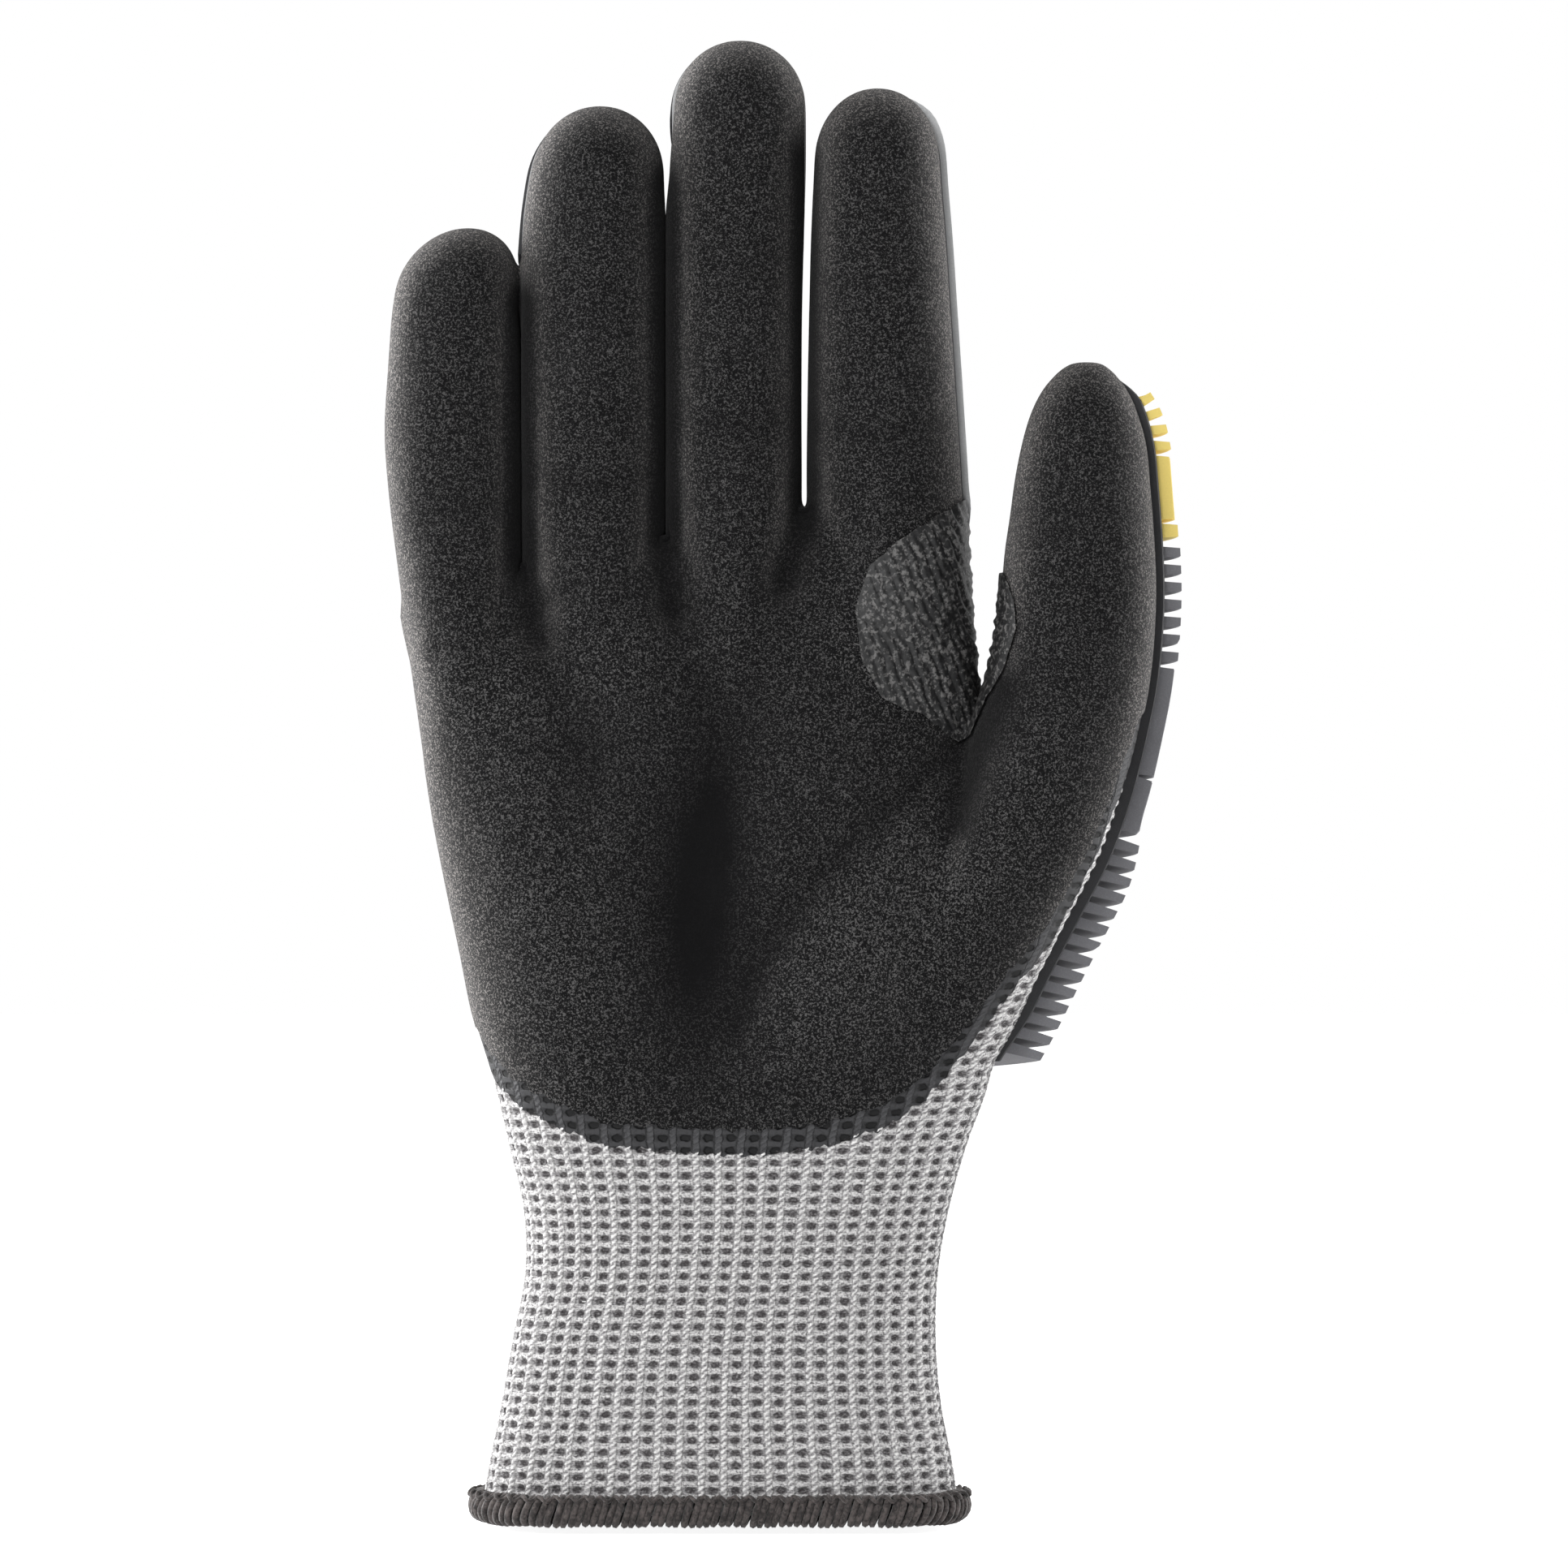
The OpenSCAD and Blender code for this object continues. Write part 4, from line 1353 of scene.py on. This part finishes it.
def raised(at, spans, soft=0.14):
    """1 inside the spans and 0 outside, with slightly sloping sides."""
    out = np.zeros(np.shape(at))
    for low, high in spans:
        rise, fall = smoothstep(low - soft, low + soft, at), smoothstep(high + soft, high - soft, at)
        out = np.maximum(out, rise * fall)
    return out


def ribs(low, high, pitch, share=0.56):
    """Spans of ribs that are a pitch apart."""
    count = max(1, int(round((high - low) / pitch)))
    step = (high - low) / count
    return [(low + step * i, low + step * (i + share)) for i in range(count)]


# height from which a guard's rays fan out over the round end, and the length that one radian takes
ROUNDING = {"thumb": (183.0, 12.0), "index": (229.0, 12.0), "middle": (238.0, 12.0), "ring": (226.0, 12.0),
            "little": (206.5, 11.0)}


def wrapped(name, s, phi, height):
    """Points that stand out from a stall. s runs up it and over its end; phi is 0 on +X and 90 behind."""
    start, radian = ROUNDING[name]
    z, rise = np.minimum(s, start), np.maximum(s - start, 0) / radian
    if name == "thumb":
        left, right, front, back = np.moveaxis(along(THUMB, np.maximum(z, 78)), -1, 0)
        x, y = (left + right) / 2, (front + back) / 2
    else:
        left, right = np.moveaxis(along(STALLS[name], z), -1, 0)
        x, y = (left + right) / 2, 0 * z
    a = np.radians(phi)
    rays = np.stack([np.cos(a) * np.cos(rise), np.sin(a) * np.cos(rise), np.sin(rise)], 1)
    return cast(np.stack([x, y, z], 1), rays) + rays * height[:, None]


# the thumb guard's ends, and its grey and yellow ribs and blocks, along the thumb
THUMB_FOOT, THUMB_END = 78.5, 197.2
THUMB_GREY = [*ribs(80.0, 117.2, 2.75), (117.6, 126.4), (127.0, 144.6), *ribs(145.6, 166.0, 2.92)]
THUMB_YELLOW = [(166.4, 168.6), (169.4, 180.0), *ribs(181.0, 191.5, 2.6)]


def thumb_strip(s, phi, top):
    """Base strip of the thumb guard: it narrows to its foot and carries a ridge along its outer side."""
    ridge = 0.28 * smoothstep(-1.5, 1.0, phi) * smoothstep(8, 5, phi)
    fade = smoothstep(THUMB_FOOT, THUMB_FOOT + 9, s)
    end = 1 - 0.85 * smoothstep(THUMB_END - 8, THUMB_END, s)
    return np.where(top, ((0.7 + 1.0 * fade) + ridge) * end, -0.25)


def thumb_lug(s, phi, top, spans, tall):
    """Ribs and blocks of the thumb guard, lower towards the foot and the tip."""
    size = (1 + 0.42 * smoothstep(122, 106, s)) * (0.6 + 0.4 * smoothstep(199, 184, s))
    block = raised(s, [span for span in spans if span[1] - span[0] > 5])
    lines = raised(s, [(z, z + 0.35) for z in np.arange(128.5, 144, 2.6)], 0.1) * raised(phi, [(14, 50)], 1.5)
    body = tall * size - 0.5 * block * raised(phi, [(-10, 12)], 1) - 0.3 * lines
    side = smoothstep(66, 50, phi)
    return np.where(top, 1.3 + (body - 1.3) * raised(s, spans) * side, 0.4)


def guard_ends(name, at):
    """Where a finger's guard starts and ends in one bending zone."""
    start, end = zone_ends(name, at)
    return start, (ROUNDING[name][0] + 12 if at == "tip" else end)


def finger_edges(name, s, wide=True):
    """Where a finger guard's two long edges lie round the finger, in degrees, at a place along it.

    The skin is wide and turns round the fingertip's side; the ribs are not.
    """
    # on the index the charcoal skin starts at -7 degrees, so that a black line beside the light edge paints
    # the shadow between coat and edge
    right = {"index": -7.0, "middle": 32.0, "ring": 34.0, "little": 36.0}[name] + 0 * s
    left = {
        "index": 150 + 0 * s,
        "middle": np.interp(s, [229, 237], [146, 177]),
        "ring": np.interp(s, [208, 214], [146, 178]),
        "little": 150 + 0 * s,
    }[name]
    if not wide:
        right, left = np.maximum(right, 4.0), 148 + 0 * s
    start = ROUNDING[name][0]
    middle = (right + left) / 2
    close = 1 - 0.35 * smoothstep(start, start + 14, s)
    return middle + (right - middle) * close, middle + (left - middle) * close


class GLOVE_OT_thumb_guard(bpy.types.Operator):
    """Moulded guard along the thumb: charcoal strip, grey ribs and blocks, yellow bumper"""

    bl_idname = "glove.thumb_guard"
    bl_label = "Thumb Guard"

    def execute(self, _context):
        low, _, cut, _ = thumb_heights()
        zones = {
            "root": (THUMB_FOOT, low, "thumb_root_guard_base", "thumb_root_ribs"),
            "base": (low, cut, "thumb_guard_base", "thumb_ribs"),
            "tip": (cut, THUMB_END, "thumb_guard_tip", "thumb_ribs"),
        }
        across = fine_lines(-2, 85, 4.5, (1, 7), 0.8)
        lug_across = fine_lines(5, 66, 4.0, (12, 14, 50), 0.8)

        def strip(u, v, top):
            # the strip narrows to its foot and to its tip
            narrow = 0.35 + 0.65 * smoothstep(THUMB_FOOT - 2, THUMB_FOOT + 14, v)
            narrow = narrow * (1 - 0.4 * smoothstep(188, THUMB_END, v))
            return wrapped("thumb", v, -2 + (u + 2) * narrow, thumb_strip(v, u, top))

        for zone, (start, end, strip_node, rib_node) in zones.items():
            made = slab(f"thumb_strip_{zone}", across, fine_lines(start, end, 1.2), strip)
            settle(moulded(made, "charcoal", strip_node), "thumb", zone)
            for kind, spans, node, tall in (
                ("grey", THUMB_GREY, rib_node, 4.9),
                ("yellow", THUMB_YELLOW, "thumb_bumper", 4.7),
            ):
                inside = [(max(a, start), min(b, end)) for a, b in spans if a < end and b > start]
                if not inside:
                    continue
                first, last = inside[0][0], inside[-1][1]
                edges = [e for span in spans for e in span]
                lines = fine_lines(max(first - 0.3, start), min(last + 0.3, end), 0.7, edges)

                def lug(u, v, top, spans=spans, tall=tall):
                    height = thumb_lug(v, u, top, spans, tall)
                    lean = 0.28 * smoothstep(150, 120, v) * (height - 1.3)
                    co = wrapped("thumb", v, u, height)
                    co[:, 2] -= np.where(top, lean, 0) + (1.3 + 0.7 * smoothstep(120, 112, v)) * (u - 5) / 57
                    return co

                made = slab(f"thumb_{kind}_{zone}", lug_across, lines, lug)
                settle(moulded(made, kind, node), "thumb", zone)
        return {"FINISHED"}


class GLOVE_OT_finger_guards(bpy.types.Operator):
    """Ribbed guards on the backs of the fingers, with edges painted light grey as a rim highlight, and yellow
    tips
    """

    bl_idname = "glove.finger_guards"
    bl_label = "Finger Guards"

    def execute(self, _context):
        for name in FINGERS:
            for at in ZONES:
                start, end = guard_ends(name, at)
                node = f"{name}_guard_{at}"

                def skin(u, v, top, name=name):
                    right, left = finger_edges(name, v)
                    # painted shadow: the index skin sits low by its front edge and shows as that black line
                    low_edge = 0.6 * smoothstep(0.12, 0.02, u) if name == "index" else 0
                    return wrapped(name, v, right + (left - right) * u, np.where(top, 1.15 - low_edge, -0.15))

                lines = fine_lines(start, end, 1.2)
                made = slab(f"{name}_guard_skin_{at}", fine_lines(0, 1, 0.05), lines, skin)
                settle(moulded(made, "charcoal", node), name, at)

                # one long block, then ribs
                block_end = start + 1.2 + (end - start) * 0.34
                ribs_end = end - (7 if at == "tip" else 0.6)
                spans = [(start + 1.2, block_end), *ribs(block_end + 1.1, ribs_end, 2.8)]
                edges = [e for span in spans for e in span]

                def rib(u, v, top, name=name, spans=spans):
                    right, left = finger_edges(name, v, wide=False)
                    height = 0.9 + 2.2 * raised(v, spans) * raised(u, [(0.06, 0.94)], 0.03)
                    height -= 0.9 * raised(u, [(0.47, 0.53)], 0.015) * raised(v, spans)
                    phi = right + (left - right) * (0.14 + 0.72 * u)
                    return wrapped(name, v, phi, np.where(top, height, 0.2))

                lines = fine_lines(spans[0][0] - 0.3, min(spans[-1][1] + 0.3, end), 0.8, edges)
                across = fine_lines(0, 1, 0.07, (0.06, 0.47, 0.53, 0.94), 0.015)
                made = slab(f"{name}_guard_ribs_{at}", across, lines, rib)
                settle(moulded(made, "yellow" if at == "tip" else "grey", node), name, at)

        # edges of grey rubber painted light grey as a rim highlight, that show from the palm side: finger,
        # where round it, from, to
        for name, first, last, low, high, out in (
            ("index", -2.0, 9.0, 165.0, 243.0, 1.25),
            ("ring", 172.0, 183.0, 213.0, 236.0, 0.2),
            ("middle", 172.0, 183.0, 233.0, 247.0, 0.5),
        ):
            for at in (*ZONES, "root"):
                start, end = (0, finger_heights(name)[0]) if at == "root" else zone_ends(name, at)
                start, end = max(start, low), high if at == "tip" else min(end, high)
                if end - start < 1:
                    continue

                def rim(u, v, top, name=name, low=low, high=high, first=first, last=last, out=out):
                    middle = (first + last) / 2
                    taper = smoothstep(low - 1, low + 8, v) * smoothstep(high + 1, high - 6, v)
                    side = middle + (u - middle) * (0.4 + 0.6 * taper)
                    return wrapped(name, v, side, np.where(top, 0.45 + out * taper, -0.1))

                lines = fine_lines(start, end, 1.5)
                made = slab(f"{name}_guard_edge_{at}", fine_lines(first, last, 2.5), lines, rim)
                settle(moulded(made, "edge", f"{name}_guard_{'base' if at == 'root' else at}"), name, at)
        return {"FINISHED"}


# the back guard's outline: height, left, right
BACK_GUARD = [
    (92, -22, 6), (93.5, -26.5, 10.5), (97, -29, 13), (104, -30, 14), (120, -30, 14), (125, -32, 16),
    (128.5, -40, 24), (131, -45, 29.5), (136, -47.5, 31.8), (148, -48, 32), (152.5, -46.5, 30.5),
    (156, -41, 26),
]
# bumpers: left, right, low, high
BUMPERS = [
    (-46.6, -31, 132.5, 152), (-28.6, -13, 132.5, 152.5), (-5, 11, 132.5, 152.5), (15, 30.6, 132.5, 152),
    (-25, 9, 96.5, 102.5), (-26, 10, 106.5, 112.5), (-26, 10, 116.5, 122.5),
]
# the two on the middle knuckles
YELLOW_BUMPERS = (1, 2)
# height of the row of stitches across the back
SEAM_Z = 130.3


def on_the_back(x, z, height):
    """Points that stand out from the hand's back."""
    rays = np.stack([0 * x, 1 + 0 * x, 0 * x], 1)
    co = cast(np.stack([x, 0 * x, z], 1), rays)
    return co + rays * height[:, None]


class GLOVE_OT_back_guard(bpy.types.Operator):
    """Moulded plate over the knuckles and down the hand's back, its bumpers and its row of stitches"""

    bl_idname = "glove.back_guard"
    bl_label = "Back Guard"

    def execute(self, _context):
        rows, left_edge, right_edge = np.array(BACK_GUARD, float).T

        def plate(u, v, top):
            left, right = np.interp(v, rows, left_edge), np.interp(v, rows, right_edge)
            groove = raised(np.abs(v - 127), [(0, 0.6)], 0.2)
            edge = smoothstep(0, 0.03, u) * smoothstep(1, 0.97, u)
            height = np.where(top, 1.0 + 0.5 * edge - 0.5 * groove, -0.3)
            return on_the_back(left + (right - left) * u, v, height)

        made = slab("knuckle_plate", fine_lines(0, 1, 0.02, (0.015, 0.985), 0.014),
                    fine_lines(92, 156, 1.1, (126.4, 127.6), 0.2), plate)
        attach(moulded(made, "charcoal", "knuckle_guard_base"), "palm")
        for i, (left, right, low, high) in enumerate(BUMPERS):
            knuckle = high > 130
            lines = [(low + up, low + up + 0.7) for up in (5.2, 10.0, 14.8)] if knuckle else []
            edges = [e for line in lines for e in line]

            def bumper(u, v, top, left=left, right=right, low=low, high=high, lines=lines, knuckle=knuckle):
                # rounded corners and a domed top
                near = np.clip(np.minimum(v - low, high - v) / 2.2, 0, 1)
                inset = 2.2 * (1 - np.sqrt(np.clip(1 - (1 - near) ** 2, 0, 1)))
                x = left + inset + (right - left - 2 * inset) * u
                dome = np.sin(np.clip(u, 0.04, 0.96) * math.pi) ** 0.35
                rim = smoothstep(0, 0.06, u) * smoothstep(1, 0.94, u)
                rim = rim * raised(v, [(low + 0.5, high - 0.5)], 0.5)
                body = rim * ((1.2 if knuckle else 0.6) + 1.1 * dome)
                height = 1.3 + body - 0.8 * raised(v, lines, 0.12) * rim
                return on_the_back(x, v, np.where(top, height, 0.6))

            made = slab(f"back_bumper_{i + 1}", fine_lines(0, 1, 0.07, (0.03, 0.97), 0.025),
                        fine_lines(low, high, 0.8, edges), bumper)
            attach(moulded(made, "yellow" if i in YELLOW_BUMPERS else "grey", "knuckle_bumpers"), "palm")

        loops = []
        for x0 in np.arange(-33, 27, 6.4):
            x = np.linspace(x0, x0 + 3.4, 9)
            lift = 1.3 + 0.75 * np.sin(np.linspace(0, math.pi, 9)) ** 0.5
            loops.append(on_the_back(x, SEAM_Z + 0 * x, lift))
        seam = thread("guard_seam", loops, 0.32, closed=False)
        finish = thread_material("seam_thread", (0.012, 0.012, 0.013), (0.05, 0.05, 0.052))
        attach(piece(seam, finish, "guard_stitching"), "palm")
        return {"FINISHED"}


class GLOVE_OT_elastic(bpy.types.Operator):
    """Finish of the elastic threads inside the cuff"""

    bl_idname = "glove.elastic"
    bl_label = "Elastic"

    def execute(self, _context):
        finish = thread_material("covered_elastic", (0.5, 0.5, 0.5), (0.85, 0.85, 0.84))
        for slot in bpy.data.objects["cuff_elastic"].material_slots:
            slot.material = finish
        return {"FINISHED"}


class GLOVE_OT_stage(bpy.types.Operator):
    """Pale floor, soft lights and the camera"""

    bl_idname = "glove.stage"
    bl_label = "Stage"

    def execute(self, context):
        stage = context.scene.glove_stage
        aim = Vector((stage.view_side, 0, stage.view_height))
        data = bpy.data.cameras.new("camera")
        data.sensor_width = 36
        data.lens = 36 * stage.distance / stage.view_width
        data.clip_start, data.clip_end = 0.05, 20
        camera = object_of("camera", data)
        camera.location = aim + Vector((0, -stage.distance, 0))
        camera.rotation_euler = (math.pi / 2, 0, 0)
        context.scene.camera = camera

        bm = bmesh.new()
        bmesh.ops.create_grid(bm, x_segments=1, y_segments=1, size=3)
        floor = object_from(bm, "floor")

        def pale(t):
            seen = Wire(t, t.node("LightPath").outputs["Is Camera Ray"])
            return {"Emission Color": (1, 1, 1), "Emission Strength": seen * 0.7 + 0.2}

        finish = material("pale_floor", pale, Base_Color=(0.8, 0.8, 0.8, 1), Roughness=0.9)
        floor.data.materials.append(finish)

        world = bpy.data.worlds.new("soft_surround")
        world.use_nodes = True
        air = Tree(world.node_tree)
        seen = Wire(air, air.node("LightPath").outputs["Is Camera Ray"])
        surround = world.node_tree.nodes["Background"]
        surround.inputs[0].default_value = (1, 1, 1, 1)
        air.put(surround.inputs[1], seen * 0.73 + 0.27)
        context.scene.world = world
        context.scene.view_settings.view_transform = "Standard"
        for name, place, size, power in (
            ("left_light", (-0.75, 0.25, 0.3), 0.8, 15),
            ("right_light", (0.8, 0.3, 0.3), 0.8, 9),
            ("front_light", (-0.5, -1.0, 0.7), 0.5, 10),
        ):
            light = bpy.data.lights.new(name, "AREA")
            light.size, light.energy = size, power
            lamp = object_of(name, light)
            lamp.location = place
            toward = Vector((0.01, 0, 0.13)) - Vector(place)
            lamp.rotation_euler = toward.to_track_quat("-Z", "Y").to_euler()
        return {"FINISHED"}


class GLOVE_PT_panel(bpy.types.Panel):
    """Sizes, colours and pieces of the glove"""

    bl_label = "Cut Resistant Glove"
    bl_idname = "GLOVE_PT_panel"
    bl_space_type = "VIEW_3D"
    bl_region_type = "UI"
    bl_category = "Glove"

    def draw(self, context):
        scene = context.scene
        for heading, group_of in (("Sizes", scene.glove_sizes), ("Colours", scene.glove_colours),
                                  ("Stage", scene.glove_stage)):
            box = self.layout.box()
            box.label(text=heading)
            for name in type(group_of).__annotations__:
                box.prop(group_of, name)
        for operator in PIECES:
            self.layout.operator(operator.bl_idname)


PIECES = (
    GLOVE_OT_stage, GLOVE_OT_cuff, GLOVE_OT_liner, GLOVE_OT_base_coat, GLOVE_OT_coat, GLOVE_OT_patch,
    GLOVE_OT_hem, GLOVE_OT_thumb_guard, GLOVE_OT_finger_guards, GLOVE_OT_back_guard, GLOVE_OT_elastic,
)
SETTINGS = {"glove_sizes": GloveSizes, "glove_colours": GloveColours, "glove_stage": GloveStage}


def register():
    for cls in (*SETTINGS.values(), *PIECES, GLOVE_PT_panel):
        bpy.utils.register_class(cls)
    for name, cls in SETTINGS.items():
        setattr(bpy.types.Scene, name, PointerProperty(type=cls))


def unregister():
    for name in SETTINGS:
        delattr(bpy.types.Scene, name)
    for cls in reversed((*SETTINGS.values(), *PIECES, GLOVE_PT_panel)):
        bpy.utils.unregister_class(cls)


def main():
    register()
    for operator in PIECES:
        getattr(bpy.ops.glove, operator.bl_idname.split(".")[1])()
    for obj in KIT.values():
        if isinstance(obj, bpy.types.Object):
            remove(obj)


if __name__ == "__main__":
    main()
